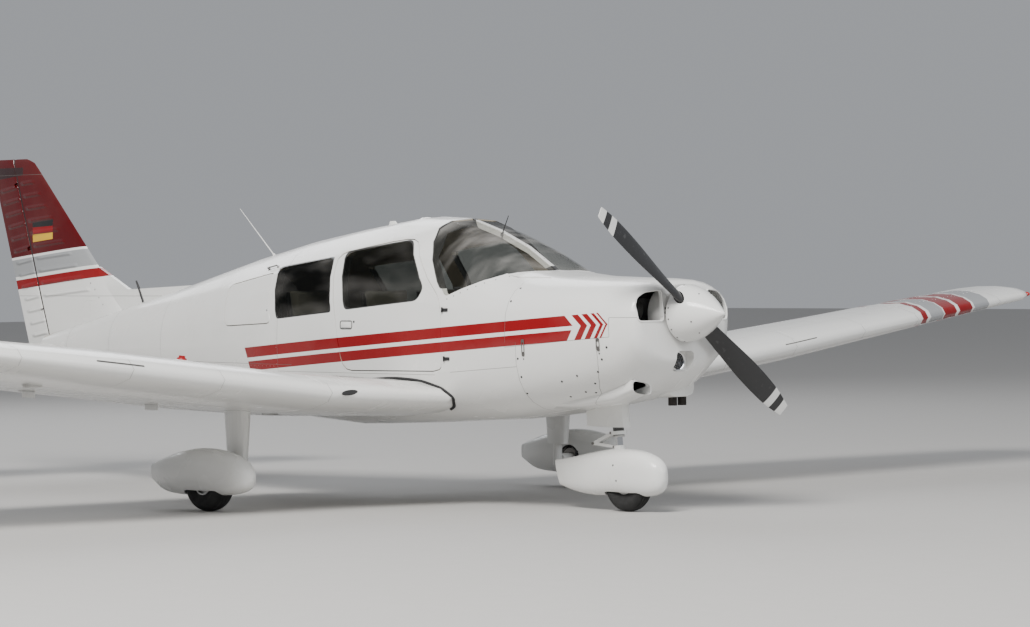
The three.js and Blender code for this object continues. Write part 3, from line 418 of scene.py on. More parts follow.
def fuselageLines(s, z):
    spec = fuselageJoints
    aft = (s.lineAt(*spec["tailRings"]) | z.lineAt(spec["tailFloor"])) & s.above(spec["tailFrom"])
    laps = [
        (z - slope(s, *line)).lineAt(0.0) & s.within(front, rear) for line, front, rear in spec["laps"]
    ]
    bowl, wall, nose = spec["bowl"], spec["firewall"], spec["nose"]
    drop = calc("MAXIMUM", bowl["top"] - z, 0.0)
    curve = (s - slope(drop * drop, bowl["station"], bowl["bend"], 0.0)).lineAt(0.0) & z.within(*bowl["z"])
    low = s.lineAt(wall["lower"]) & ~z.above(wall["z"])
    high = s.lineAt(wall["upper"]) & z.above(wall["z"])
    front = z.lineAt(nose["z"]) & ~s.above(nose["station"])
    step = s.lineAt(nose["station"]) & z.within(*nose["step"])
    return either(aft, *laps, curve, low, high, front, step)


# The cabin's inner faces look towards its middle
cabinInside = {"z": 1.05, "front": 1.21}


def makeFuselagePaint():
    material, tree, shader = newMaterial("fuselage_paint")
    s, y, z = stations(tree)
    color = mixColor(stripeMask(s, z), colors["white"], colors["stripeRed"])
    seals = [outlineDistance(s, z, *outline).within(*sealBand, 0.001) for outline in windowOutlines]
    color = mixColor(either(*seals), color, colors["seal"])
    nx, ny, nz = coordinates(tree, "Normal")
    outward = ny * y + nz * (z - cabinInside["z"])
    inside = (outward * -1.0).above(0.02, 0.01) & s.above(cabinInside["front"])
    color = mixColor(inside, color, colors["lining"])
    finishPaint(tree, shader, color, fuselageLines(s, z) & ~inside)
    return material


# Rows of beads: tilt and origin of the rows, the first bead and the spacing, front and rear edge, heights
finMarks = {
    "hinge": (6.9346, 0.336, 2.030),
    "hingeGapShade": (-0.046, -0.026, 0.003),
    "tilt": (0.0, 0.088, 6.4),
    "bands": [(1.354, 1.418, "stripeRed"), (1.441, 1.562, "grey"), (1.579, 9.0, "red")],
    "flag": {
        "front": 6.480,
        "rear": 6.725,
        "edges": [(1.791, 0.020), (1.747, 0.010), (1.701, 0.013), (1.656, 0.021)],
        "colors": ("black", "stripeRed", "gold"),
    },
    "beads": [
        ((0.08, 6.5), (2.071, 0.0887), (6.716, 0.882, 2.055), (6.857, 0.343, 2.041), (1.24, 2.09)),
        ((0.14, 6.9), (2.022, 0.088), (6.912, 0.336, 2.021), (7.126, 0.367, 1.991), (0.96, 2.04)),
    ],
    "topLine": (2.105, 6.4),
    "footLine": 1.262,
    "head": {"front": 6.84, "edge": (2.103, -0.085, 6.84), "z": (2.0, 2.156)},
}


def finBeads(s, z):
    total = None
    for (rate, origin), (first, spacing), front, rear, heights in finMarks["beads"]:
        wave = beadWave(z + slope(s, 0.0, rate, origin), first, spacing)
        part = wave & s.above(slope(z, *front), 0.02) & ~s.above(slope(z, *rear), 0.02)
        part = part & z.within(*heights, 0.01)
        total = part if total is None else total + part
    return total


def makeFinPaint():
    material, tree, shader = newMaterial("fin_paint")
    s, y, z = stations(tree)
    tilted = z + slope(s, *finMarks["tilt"])
    color = colors["white"]
    for low, high, name in finMarks["bands"]:
        color = mixColor(tilted.within(low, high, 0.0008), color, colors[name])
    flag = finMarks["flag"]
    front, rear = flag["front"], flag["rear"]
    edges = [slope(s, top, -fall / (rear - front), front) for top, fall in flag["edges"]]
    for high, low, name in zip(edges, edges[1:], flag["colors"]):
        bar = s.within(front, rear) & z.above(low) & ~z.above(high)
        color = mixColor(bar, color, colors[name])
    topZ, topFront = finMarks["topLine"]
    lines = z.lineAt(topZ) & s.above(topFront) | z.lineAt(finMarks["footLine"])
    # A dark, rough band along the rudder's hinge line: painted shade in the deep gap between fin and rudder
    gap = (s - slope(z, *finMarks["hinge"])).within(*finMarks["hingeGapShade"])
    color = mixColor(gap, color, colors["hingeGapShade"])
    head = finMarks["head"]
    patch = s.above(head["front"]) & z.above(slope(s, *head["edge"])) & z.within(*head["z"])
    color = mixColor(patch, color, colors["rudderHead"])
    finishPaint(tree, shader, color, lines, finBeads(s, z), gap)
    return material


# Raised round beads at one spacing
def beadWave(value, first, spacing, width=0.24):
    phase = calc("FRACT", calc("MULTIPLY_ADD", value, 1 / spacing, 20.5 - first / spacing))
    return abs(phase - 0.5).ramp(width, 0.0, interpolation_type="SMOOTHSTEP")


wingMarks = [
    (4.049, 4.105, "stripeRed"), (4.139, 4.285, "grey"), (4.296, 4.431, "stripeRed"),
    (4.465, 4.611, "stripeRed"), (4.634, 4.803, "grey"),
]
wingPlan = {
    "leading": 2.010,
    "kink": 2.697,
    "sweep": 0.210 / 2.527,
    "ribs": [1.251, 2.05, 2.697, 3.42, 4.0, 4.93, 5.224],
    "spars": [0.235, 0.60, 0.615],
    "bandSlant": -0.4,
    "bandDepth": 0.4,
}
walkway = {"y": (0.60, 0.98), "s": (2.25, 3.35)}


def makeWingPaint():
    material, tree, shader = newMaterial("wing_paint")
    s, y, z = stations(tree)
    span = abs(y)
    out = calc("MAXIMUM", span - wingPlan["kink"], 0.0)
    back = s - (out * wingPlan["sweep"] + wingPlan["leading"])
    along = calc("MINIMUM", back, wingPlan["bandDepth"]) * wingPlan["bandSlant"] + span
    color = colors["white"]
    for low, high, name in wingMarks:
        color = mixColor(along.within(low, high, 0.0008), color, colors[name])
    lines = span.lineAt(*wingPlan["ribs"]) | back.lineAt(*wingPlan["spars"]) & span.above(0.6)
    near, far = walkway["y"]
    walk = y.within(-far, -near) & s.within(*walkway["s"]) & coordinates(tree, "Normal")[2].above(0.5)
    finishPaint(tree, shader, mixColor(walk, color, colors["walkway"]), lines)
    return material


# Control surfaces with beads along the chord
def makeRibbedPaint():
    material, tree, shader = newMaterial("ribbed_paint")
    s, y, z = stations(tree)
    finishPaint(tree, shader, colors["white"], None, beadWave(y, 0.7, 0.092, 0.2))
    shader.inputs["Coat Weight"].default_value = 0.15
    return material


def makePlainPaint(name, lines=None):
    material, tree, shader = newMaterial(name)
    finishPaint(tree, shader, colors["white"], lines(*stations(tree)) if lines else None)
    return material


def pantLines(s, y, z):
    return (s - slope(z, 1.437, 0.29, 0.285)).lineAt(0.0) & z.within(0.05, 0.33)


def stabilatorLines(s, y, z):
    return abs(y).lineAt(0.62, 1.25, 1.93) | s.lineAt(6.46)


# White fairing over dark lower fittings
def makeNoseLegPaint():
    material, tree, shader = newMaterial("nose_leg_paint")
    s, y, z = stations(tree)
    finishPaint(tree, shader, mixColor(~z.above(0.4935), colors["white"], colors["legFitting"]))
    return material


# Simple finishes: color, roughness, metal, grain share
finishes = {
    "chrome": ((0.72, 0.72, 0.72), 0.10, 1.0, 0.1),
    "alloy": ((0.52, 0.52, 0.51), 0.38, 1.0, 0.4),
    "steel": ((0.22, 0.21, 0.20), 0.42, 0.9, 0.4),
    "exhaust": ((0.035, 0.030, 0.027), 0.6, 0.6, 0.8),
    "black_metal": ((0.018, 0.018, 0.019), 0.45, 0.0, 0.3),
    "rubber": ((0.016, 0.016, 0.017), 0.75, 0.0, 0.6),
    "tyre_rubber": ((0.022, 0.022, 0.022), 0.85, 0.0, 0.9),
    "engine_grey": ((0.10, 0.10, 0.10), 0.55, 0.3, 0.6),
    "plastic": ((0.028, 0.028, 0.030), 0.55, 0.0, 0.4),
    "dial": ((0.008, 0.008, 0.009), 0.12, 0.0, 0.0),
    "red_lens": ((0.45, 0.01, 0.01), 0.08, 0.0, 0.0),
    "cap_red": ((0.30, 0.004, 0.006), 0.35, 0.0, 0.2),
    "green_lens": ((0.01, 0.22, 0.06), 0.08, 0.0, 0.0),
    "clear_lens": ((0.75, 0.78, 0.80), 0.05, 0.0, 0.0),
    "lamp_lens": ((0.035, 0.038, 0.042), 0.25, 0.0, 0.0),
}


def makeFinish(name):
    color, roughness, metal, share = finishes[name]
    material, tree, shader = newMaterial(name)
    value, normal = useGroup(tree, grain)
    fill(tree, shader, {
        "Base Color": mixColor(value * share, color, tuple(0.65 * part for part in color)),
        "Roughness": value.ramp(0.0, 1.0, roughness, min(1.0, roughness + 0.25 * share)),
        "Metallic": metal,
    })
    if share > 0.5:
        fill(tree, shader, {"Normal": normal})
    return material


# Pale bands at the tips, by radius
bladePaint = {
    "color": (0.024, 0.024, 0.025),
    "bands": [(0.891, 0.945), (0.793, 0.842)],
    "bandColor": (0.72, 0.72, 0.70),
    "nickColor": (0.3, 0.3, 0.3),
    "roughness": 0.33,
}


def makeBladePaint():
    material, tree, shader = newMaterial("blade_paint")
    x, y, z = coordinates(tree)
    up = z - axisZ
    radius = calc("SQRT", up * up + y * y)
    bands = either(*[radius.within(low, high) for low, high in bladePaint["bands"]])
    color = mixColor(bands, bladePaint["color"], bladePaint["bandColor"])
    nicks = noise(tree, 30.0, 5).ramp(0.62, 0.72)
    fill(tree, shader, {
        "Base Color": mixColor(nicks * 0.12, color, bladePaint["nickColor"]),
        "Normal": useGroup(tree, wear)[1],
        "Roughness": bladePaint["roughness"],
    })
    return material


# Tint, least mirror share, share of the pale bands of painted sky reflection, and their stretch
glasses = {
    "side_window_glass": ((0.56, 0.57, 0.55), 0.01, 0.04, (1.2, 1.0, 3.0)),
    "windshield_glass": ((0.92, 0.92, 0.90), 0.05, 0.14, (4.5, 1.4, 1.0)),
}


def makeGlass(name):
    tint, mirror, paintedReflectionShare, stretch = glasses[name]
    material, tree, shader = newMaterial(name)
    # Pale stretched noise bands in the mirror colour are painted reflections of the bright sky
    bands = noise(tree, 1.7, 2, stretch).ramp(0.44, 0.72)
    fill(tree, shader, {
        "Base Color": mixColor(bands, (0.02, 0.022, 0.022), (0.62, 0.60, 0.57)),
        "IOR": 1.5,
        "Roughness": noise(tree, 2.5, 4).ramp(0.4, 0.8, 0.015, 0.06),
    })
    clear = field(tree, "BsdfTransparent", {"Color": tint})
    share = field(tree, "Fresnel", {"IOR": 1.5}) + (bands * paintedReflectionShare + mirror)
    share = share * ~field(tree, "NewGeometry", output="Backfacing")
    mixed = field(tree, "MixShader", [share, clear, Field(tree, shader.outputs[0])])
    fill(tree, tree.nodes["Material Output"], {"Surface": mixed})
    return material


def makeFabric():
    material, tree, shader = newMaterial("seat_fabric")
    where = field(tree, "TexCoord", output="Object")
    values = {"Vector": where, "Scale": 190.0, "Distortion": 1.0}
    waves = [field(tree, "TexWave", values, "Fac", bands_direction=axis) for axis in ("X", "Y")]
    weave = waves[0] * waves[1]
    tone = mixColor(noise(tree, 9.0, 4), (0.16, 0.145, 0.125), (0.24, 0.22, 0.19))
    fill(tree, shader, {
        "Base Color": mixColor(weave * 0.4, tone, (0.33, 0.31, 0.27)),
        "Normal": bump(weave, 0.0008),
        "Roughness": 0.92,
        "Sheen Weight": 0.3,
    })
    return material


mats = {name: makeFinish(name) for name in finishes}
mats["fuselage"] = makeFuselagePaint()
mats["fin"] = makeFinPaint()
mats["wing"] = makeWingPaint()
mats["ribbed"] = makeRibbedPaint()
mats["plain"] = makePlainPaint("plain_paint")
mats["pant"] = makePlainPaint("pant_paint", pantLines)
mats["stabilator"] = makePlainPaint("stabilator_paint", stabilatorLines)
mats["bladePaint"] = makeBladePaint()
mats["sideGlass"] = makeGlass("side_window_glass")
mats["frontGlass"] = makeGlass("windshield_glass")
mats["fabric"] = makeFabric()
mats["noseLeg"] = makeNoseLegPaint()
print("materials ready")


# The CAD nodes that stay: smooth shading and a finish each

nodeFinish = {
    "fuselage": ["cabin_shell", "cabin_door", "baggage_door", "cowl_lower", "cowl_upper", "tail_cone"],
    "fin": ["fin", "rudder"],
    "wing": ["wing_left", "wing_right"],
    "ribbed": ["flap_left", "flap_right", "aileron_left", "aileron_right"],
    "stabilator": ["stabilator", "stabilator_tab"],
    "plain": ["main_leg_left", "main_leg_right", "nose_fork"],
    "noseLeg": ["nose_leg"],
    "pant": ["nose_pant", "main_pant_left", "main_pant_right"],
    "sideGlass": ["cabin_door_window", "front_window_left", "rear_window_left", "rear_window_right"],
    "frontGlass": ["windshield_left", "windshield_right"],
    "steel": ["firewall"],
    "engine_grey": ["engine"],
    "exhaust": ["exhaust_pipes"],
    "alloy": ["nose_hub", "main_hub_left", "main_hub_right"],
    "tyre_rubber": ["nose_tyre", "main_tyre_left", "main_tyre_right"],
    "bladePaint": ["propeller"],
    "chrome": ["landing_lamp"],
    "fabric": ["front_seat_left", "front_seat_right", "rear_seat"],
    "plastic": ["instrument_panel"],
}


# Degrees under which an edge is shaded smooth, where it isn't 32
smoothAngles = {"wing": 104, "fin": 80, "ribbed": 58, "stabilator": 80}


def smoothNode(node, angle):
    for face in node.data.polygons:
        face.use_smooth = True
    weld = node.modifiers.new("weld", "WELD")
    weld.merge_threshold = 0.00005
    split = node.modifiers.new("edges", "EDGE_SPLIT")
    split.split_angle = math.radians(angle)
    even = node.modifiers.new("even", "WEIGHTED_NORMAL")
    even.mode = "FACE_AREA_WITH_ANGLE"
    even.weight = 50


for finish, names in nodeFinish.items():
    for name in names:
        node = nodes[name]
        smoothNode(node, smoothAngles.get(finish, 32))
        node.data.materials.clear()
        node.data.materials.append(mats[finish])


# Modelling helpers

def addRod(bm, start, end, radius, endRadius=None, sides=16):
    span = end - start
    turn = wayUp.rotation_difference(span).to_matrix().to_4x4()
    bmesh.ops.create_cone(
        bm, cap_ends=True, segments=sides, radius1=radius, radius2=radius if endRadius is None else endRadius,
        depth=span.length, matrix=Matrix.Translation((start + end) / 2) @ turn,
    )


# A block of some size about a place, turned and with eased edges
def addBlock(bm, centre, turn, size, bevel=0.0, segments=2):
    place = Matrix.Translation(centre) @ turn @ Matrix.Diagonal((*size, 1))
    made = bmesh.ops.create_cube(bm, size=1, matrix=place)["verts"]
    if bevel:
        edges = list({edge for vert in made for edge in vert.link_edges})
        bmesh.ops.bevel(
            bm, geom=edges, offset=bevel, segments=segments, profile=0.5, affect="EDGES", material=-1,
        )


def addBox(bm, low, high, bevel=0.0):
    addBlock(bm, (low + high) / 2, Matrix(), [abs(part) for part in high - low], bevel)


def axes(*directions):
    return Matrix(directions).transposed().to_4x4()


# A closed or open profile of radius and distance, spun about an axis
def addLathe(bm, profile, place, axis, steps=48, closed=False):
    axis = axis.normalized()
    side = axis.orthogonal().normalized()
    verts = [bm.verts.new(place + axis * h + side * r) for r, h in profile]
    pairs = list(zip(verts, verts[1:])) + ([(verts[-1], verts[0])] if closed else [])
    edges = [bm.edges.new(pair) for pair in pairs]
    bmesh.ops.spin(
        bm, geom=verts + edges, cent=place, axis=axis, angle=2 * math.pi, steps=steps, use_merge=True,
    )
    bmesh.ops.remove_doubles(bm, verts=bm.verts, dist=0.00001)


def addLoft(bm, rings, caps=True):
    loops = []
    for ring in rings:
        made = bmesh.ops.create_circle(bm, segments=len(ring), radius=1)["verts"]
        for vert, place in zip(made, ring):
            vert.co = place
        loops.append(list({edge for vert in made for edge in vert.link_edges}))
    for near, far in zip(loops, loops[1:]):
        bmesh.ops.bridge_loops(bm, edges=near + far)
    if caps:
        bmesh.ops.holes_fill(bm, edges=loops[0])
        bmesh.ops.holes_fill(bm, edges=loops[-1])


def makePiece(name, bm, material, body, sharp=35):
    bmesh.ops.recalc_face_normals(bm, faces=bm.faces)
    mesh = meshOf(name, bm)
    for face in mesh.polygons:
        face.use_smooth = True
    mesh.set_sharp_from_angle(angle=math.radians(sharp))
    mesh.materials.append(mats[material])
    piece = addObject(name, mesh)
    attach(piece, body)
    return piece


# A tube along points, smooth between them
def addTube(bm, points, radius, sides=8, close=False):
    rings = []
    count = len(points)
    for i, point in enumerate(points):
        before = points[(i - 1) % count] if close or i else point
        after = points[(i + 1) % count] if close or i < count - 1 else point
        ahead = (after - before).normalized()
        side = ahead.orthogonal() if not rings else ahead.cross(rings[-1][1].cross(ahead))
        side.normalize()
        up = ahead.cross(side)
        rings.append(([point + radius * (c * side + s * up) for c, s in circle(sides)], side))
    loops = [ring for ring, side in rings]
    addLoft(bm, loops + [loops[0]] if close else loops, caps=not close)
    if close:
        bmesh.ops.remove_doubles(bm, verts=bm.verts, dist=0.00001)


# Rows of a table blended smoothly at a value of its first column
def blend(table, value):
    last = len(table) - 2
    k = max(0, min(last, next((i for i in range(last + 1) if value <= table[i + 1][0]), last)))
    t = (value - table[k][0]) / (table[k + 1][0] - table[k][0])
    row = []
    for column in range(len(table[0])):
        p = [table[max(0, min(last + 1, k + i))] for i in (-1, 0, 1, 2)]
        span = p[2][0] - p[1][0]
        rates = []
        for a, b, c in ((p[0], p[1], p[2]), (p[1], p[2], p[3])):
            width = c[0] - a[0]
            rates.append((c[column] - a[column]) / width if width else 0.0)
        h = (2 * t**3 - 3 * t**2 + 1, t**3 - 2 * t**2 + t, 3 * t**2 - 2 * t**3, t**3 - t**2)
        ends = h[0] * p[1][column] + h[2] * p[2][column]
        row.append(ends + span * (h[1] * rates[0] + h[3] * rates[1]))
    return row


def power(value, exponent):
    return math.copysign(abs(value) ** exponent, value)


# Surfaces that small parts are set on

def skinOf(*names):
    bm = bmesh.new()
    for name in names:
        bm.from_mesh(nodes[name].data)
    tree = BVHTree.FromBMesh(bm)
    bm.free()
    return tree


# The place and outward normal where a ray meets a skin
def onSkin(skin, start, way):
    hit, normal, index, distance = skin.ray_cast(start, way)
    if hit is None:
        return None
    return hit, -normal if normal.dot(way) > 0 else normal


def fromAhead(skin, y, z):
    return onSkin(skin, at(0, y, z), wayAft)


def fromAbove(skin, station, y):
    return onSkin(skin, at(station, y, 3.0), -wayUp)


def fromBelow(skin, station, y):
    return onSkin(skin, at(station, y, -1.0), wayUp)


def fromSide(station, z, side):
    return onSkin(fuselageSkin, at(station, 1.2 * side, z), -side * wayPort)


def addStud(bm, found, radius, height, sides=8):
    if found:
        hit, normal = found
        addRod(bm, hit - 0.0006 * normal, hit + height * normal, radius, 0.75 * radius, sides)


# Propeller and spinner

propeller = {
    "station": 0.256,
    "tilt": 0.9,
    # radius, chord, thickness, blade angle in degrees
    "blade": [
        (0.060, 0.088, 0.064, 60), (0.180, 0.098, 0.042, 47), (0.330, 0.112, 0.027, 35),
        (0.560, 0.134, 0.018, 25), (0.780, 0.125, 0.013, 19), (0.900, 0.091, 0.009, 16),
        (0.940, 0.075, 0.006, 15),
    ],
    "span": (0.06, 0.94),
    "rings": 26,
    "points": 28,
    # front, rear and radius of the hub and the shaft
    "hub": [(0.216, 0.300, 0.082), (0.300, 0.552, 0.052)],
}


def addBlade(bm, side, grow=0.0):
    s, c = side * math.sin(propeller["tilt"]), side * math.cos(propeller["tilt"])
    out = Vector((0, -s, c))
    middle = at(propeller["station"], 0, axisZ)
    root, tip = propeller["span"]
    rings = []
    for i in range(propeller["rings"]):
        radius = root + (tip - root) * i / (propeller["rings"] - 1)
        radius, chord, thickness, angle = blend(propeller["blade"], radius)
        turn = math.radians(angle)
        chordWay = Vector((math.sin(turn), -c * math.cos(turn), -s * math.cos(turn)))
        thickWay = out.cross(chordWay)
        half, deep = 0.5 * (chord + grow), 0.5 * (thickness + grow)
        rings.append([
            middle + out * radius + chordWay * half * along + thickWay * deep * across
            for along, across in circle(propeller["points"])
        ])
    addLoft(bm, rings)


def makePropeller():
    bm = bmesh.new()
    addBlade(bm, 1)
    addBlade(bm, -1)
    piece = makePiece("propeller_blades", bm, "bladePaint", "propeller", 50)
    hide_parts("propeller")
    bm = bmesh.new()
    for front, rear, radius in propeller["hub"]:
        addRod(bm, at(front, 0, axisZ), at(rear, 0, axisZ), radius, sides=40)
    makePiece("propeller_hub", bm, "alloy", "propeller")


spinner = {
    "base": 0.316,
    "radius": 0.166,
    "wall": 0.004,
    "rootGap": 0.012,
    # station and count of each ring of screws, and a screw's radius and height
    "rings": [(0.300, 16), (0.165, 8)],
    "screw": (0.0052, 0.0016),
    "clearOfRoot": 0.9,
    "plate": {"hole": 0.05, "inset": 0.0035, "thick": 0.008},
    "steps": 22,
}


def spinnerRadius(t):
    return spinner["radius"] * math.sin(0.5 * math.pi * t)


def cutPiece(bm, cutter):
    made = []
    for name, source in (("cut_target", bm), ("cut_tool", cutter)):
        bmesh.ops.recalc_face_normals(source, faces=source.faces)
        made.append(addObject(name, meshOf(name, source)))
    target, tool = made
    cut = target.modifiers.new("cut", "BOOLEAN")
    cut.operation = "DIFFERENCE"
    cut.object = tool
    cut.solver = "EXACT"
    graph = bpy.context.evaluated_depsgraph_get()
    result = bmesh.new()
    result.from_mesh(target.evaluated_get(graph).to_mesh())
    for piece in made:
        mesh = piece.data
        bpy.data.objects.remove(piece)
        bpy.data.meshes.remove(mesh)
    return result


def makeSpinner():
    steps, tip = spinner["steps"], at(0, 0, axisZ)
    outer = [(spinnerRadius(i / steps), spinner["base"] * i / steps) for i in range(steps + 1)]
    inner = [(max(0.0, r - spinner["wall"]), h) for r, h in outer[2:]]
    bm = bmesh.new()
    addLathe(bm, outer + inner[::-1] + [(0.0, inner[0][1])], tip, wayAft, 64)
    cutter = bmesh.new()
    for side in (1, -1):
        addBlade(cutter, side, spinner["rootGap"])
    piece = makePiece("spinner_shell", cutPiece(bm, cutter), "plain", "propeller", 40)
    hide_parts("spinner")
    # The backplate's dark steel also paints in the shade of the gap between the spinner and the cowl
    bm = bmesh.new()
    base, plate = spinner["base"], spinner["plate"]
    hole, rim, front = plate["hole"], spinner["radius"] - plate["inset"], base - plate["thick"]
    addLathe(bm, [(hole, front), (rim, front), (rim, base), (hole, base)], tip, wayAft, 64, closed=True)
    makePiece("spinner_backplate", bm, "steel", "propeller")
    bm = bmesh.new()
    root = Vector((0, -math.sin(propeller["tilt"]), math.cos(propeller["tilt"])))
    for station, count in spinner["rings"]:
        radius = spinnerRadius(station / base)
        flare = (radius - spinnerRadius(station / base - 0.05)) / (0.05 * base)
        for c, s in circle(count, 0.5):
            out = Vector((0, s, c))
            if abs(out.dot(root)) > spinner["clearOfRoot"]:
                continue
            normal = (out + Vector((flare, 0, 0))).normalized()
            addStud(bm, (at(station, 0, axisZ) + out * radius, normal), *spinner["screw"], 10)
    makePiece("spinner_screws", bm, "black_metal", "propeller")


makePropeller()
makeSpinner()
print("propeller ready")


# Wheels

mainWheel = {"station": 2.840, "radius": 0.180, "halfWidth": 0.072, "rim": 0.082}
wheels = {
    "nose": {
        "body": "nose_wheel", "y": 0.0, "station": 0.810, "radius": 0.172, "halfWidth": 0.055, "rim": 0.070,
    },
    "main_left": {"body": "main_wheel_left", "y": 1.525, **mainWheel},
    "main_right": {"body": "main_wheel_right", "y": -1.525, **mainWheel},
}
tread = {
    "grooves": [-0.5, -0.17, 0.17, 0.5],
    "width": 0.004,
    "depth": 0.004,
    "rimGap": 0.0005,
    "rimShare": 0.72,
    "roundness": 0.8,
    "steps": 26,
}


# Radius and side of points from one flank of a tyre to the other
def roundProfile(middle, outer, half, roundness, steps):
    turns = [math.pi * (i / steps - 0.5) for i in range(steps + 1)]
    return [
        (middle + (outer - middle) * power(math.cos(a), roundness), half * power(math.sin(a), roundness))
        for a in turns
    ]


def makeTyre(name, spec, node):
    middle = (spec["radius"] + spec["rim"]) / 2
    half = spec["halfWidth"]
    seat, bead = spec["rim"] + tread["rimGap"], tread["rimShare"] * half
    shoulder = roundProfile(middle, spec["radius"], half, tread["roundness"], tread["steps"])
    profile = [(seat, -bead), *shoulder, (seat, bead)]
    w, d = tread["width"] / 2, tread["depth"]
    for share in tread["grooves"]:
        h = share * half
        i = next(k for k in range(1, len(profile)) if profile[k][1] > h)
        (r1, h1), (r2, h2) = profile[i - 1], profile[i]
        r = r1 + (r2 - r1) * (h - h1) / (h2 - h1)
        profile = [point for point in profile if abs(point[1] - h) > w]
        i = next(k for k in range(1, len(profile)) if profile[k][1] > h)
        profile[i:i] = [(r, h - w), (r - d, h - 0.8 * w), (r - d, h + 0.8 * w), (r, h + w)]
    bm = bmesh.new()
    addLathe(bm, profile, at(spec["station"], spec["y"], spec["radius"]), wayPort, 72, closed=True)
    piece = makePiece(name + "_tread", bm, "tyre_rubber", spec["body"], 25)
    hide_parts(node)


for name, node in (("nose", "nose_tyre"), ("main_left", "main_tyre_left"), ("main_right", "main_tyre_right")):
    makeTyre(name, wheels[name], node)
print("wheels ready")


# The outline with every corner rounded, as points
def roundedOutline(corners, radius, steps=4):
    points = []
    count = len(corners)
    for i, corner in enumerate(corners):
        corner = Vector(corner)
        before, after = Vector(corners[i - 1]), Vector(corners[(i + 1) % count])
        reach = min(radius, 0.45 * (before - corner).length, 0.45 * (after - corner).length)
        start = corner + reach * (before - corner).normalized()
        end = corner + reach * (after - corner).normalized()
        for k in range(steps + 1):
            t = k / steps
            points.append((1 - t) ** 2 * start + 2 * t * (1 - t) * corner + t**2 * end)
    return points


# Wheel pants: station from the axle, half width, bottom, top, lean of the top aft of the bottom

pants = {
    "nose": [
        (-0.300, 0.012, 0.186, 0.240, 0), (-0.284, 0.046, 0.138, 0.284, 0), (-0.222, 0.076, 0.102, 0.328, 0),
        (-0.100, 0.092, 0.092, 0.362, 0), (0.080, 0.093, 0.094, 0.368, 0), (0.280, 0.078, 0.088, 0.342, 0),
        (0.470, 0.044, 0.108, 0.306, 0.020), (0.605, 0.014, 0.137, 0.285, 0.043),
    ],
    "main": [
        (-0.410, 0.008, 0.190, 0.216, 0), (-0.385, 0.048, 0.150, 0.262, 0), (-0.300, 0.086, 0.116, 0.322, 0),
        (-0.150, 0.104, 0.099, 0.362, 0), (0.040, 0.107, 0.094, 0.376, 0), (0.240, 0.094, 0.092, 0.352, 0),
        (0.420, 0.058, 0.112, 0.308, 0), (0.567, 0.008, 0.176, 0.262, 0),
    ],
    "rings": 34,
    "points": 44,
    "roundness": 0.78,
    "leastHalf": 0.004,
    # the room round the tyre, and the hole over the brake
    "treadGap": 0.0095,
    "sideGap": 0.008,
    "roomRoundness": 0.7,
    "brakeOpening": 0.092,
    "brakeSpan": (0.021, 0.191),
    "screws": [(0.847, 0.274), (0.822, 0.184)],
    "screw": (0.0065, 0.0015),
}


# Built on the port side, and mirrored for the starboard wheel
def makePant(name, table, spec, hasBrake, body, node):
    bm = bmesh.new()
    across = abs(spec["y"])
    rings = []
    first, last = table[0][0], table[-1][0]
    for i in range(pants["rings"]):
        t = i / (pants["rings"] - 1)
        offset = first + (last - first) * (0.5 - 0.5 * math.cos(math.pi * t) if t < 0.5 else t)
        offset, half, bottom, top, lean = blend(table, offset)
        ring = []
        for c, s in circle(pants["points"], 0.5):
            level = 0.5 * power(s, pants["roundness"])
            z = (top + bottom) / 2 + (top - bottom) * level
            y = across + max(half, pants["leastHalf"]) * power(c, pants["roundness"])
            ring.append(at(spec["station"] + offset + lean * level, y, z))
        rings.append(ring)
    addLoft(bm, rings)
    cutter = bmesh.new()
    middle = (spec["radius"] + spec["rim"]) / 2
    reach = spec["halfWidth"] + pants["sideGap"]
    room = roundProfile(middle, spec["radius"] + pants["treadGap"], reach, pants["roomRoundness"], 12)
    centre = at(spec["station"], across, spec["radius"])
    addLathe(cutter, [(0.0, -reach), *room, (0.0, reach)], centre, wayPort, 48)
    bm = cutPiece(bm, cutter)
    if hasBrake:
        cutter = bmesh.new()
        start, end = [centre - reach * wayPort + 0.0003 * wayUp for reach in pants["brakeSpan"]]
        addRod(cutter, start, end, pants["brakeOpening"], sides=44)
        bm = cutPiece(bm, cutter)
    if spec["y"] < 0:
        bmesh.ops.scale(bm, vec=(1, -1, 1), verts=bm.verts)
    piece = makePiece(name, bm, "pant", body, 38)
    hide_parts(node)


makePant("nose_wheel_pant", pants["nose"], wheels["nose"], False, "nose_gear", "nose_pant")
makePant("main_wheel_pant_left", pants["main"], wheels["main_left"], True, "airframe", "main_pant_left")
makePant("main_wheel_pant_right", pants["main"], wheels["main_right"], True, "airframe", "main_pant_right")


# Hubs, brakes and the rubber edge of each brake opening

hubs = {
    "bolts": 6,
    "boltCircle": 0.045,
    "boltInset": 0.021,
    "bolt": (0.006, 0.012),
    # inboard of the wheel's middle, hole, radius and half thickness
    "disc": (0.094, 0.050, 0.078, 0.003),
    # ahead of the axle, above it, and half width
    "caliper": {"ahead": (0.058, 0.086), "above": (0.022, 0.062), "half": 0.014},
    "edge": {"inboard": 0.1045, "gap": 0.001, "radius": 0.006},
}


def makeHub(name, spec):
    bm = bmesh.new()
    radius, length = hubs["bolt"]
    for side in (1, -1):
        face = spec["y"] + side * (spec["halfWidth"] - hubs["boltInset"])
        for c, s in circle(hubs["bolts"]):
            place = at(spec["station"], face, spec["radius"]) + hubs["boltCircle"] * Vector((c, 0, s))
            addRod(bm, place, place + side * length * wayPort, radius, sides=6)
    makePiece(name + "_hub_bolts", bm, "steel", spec["body"])


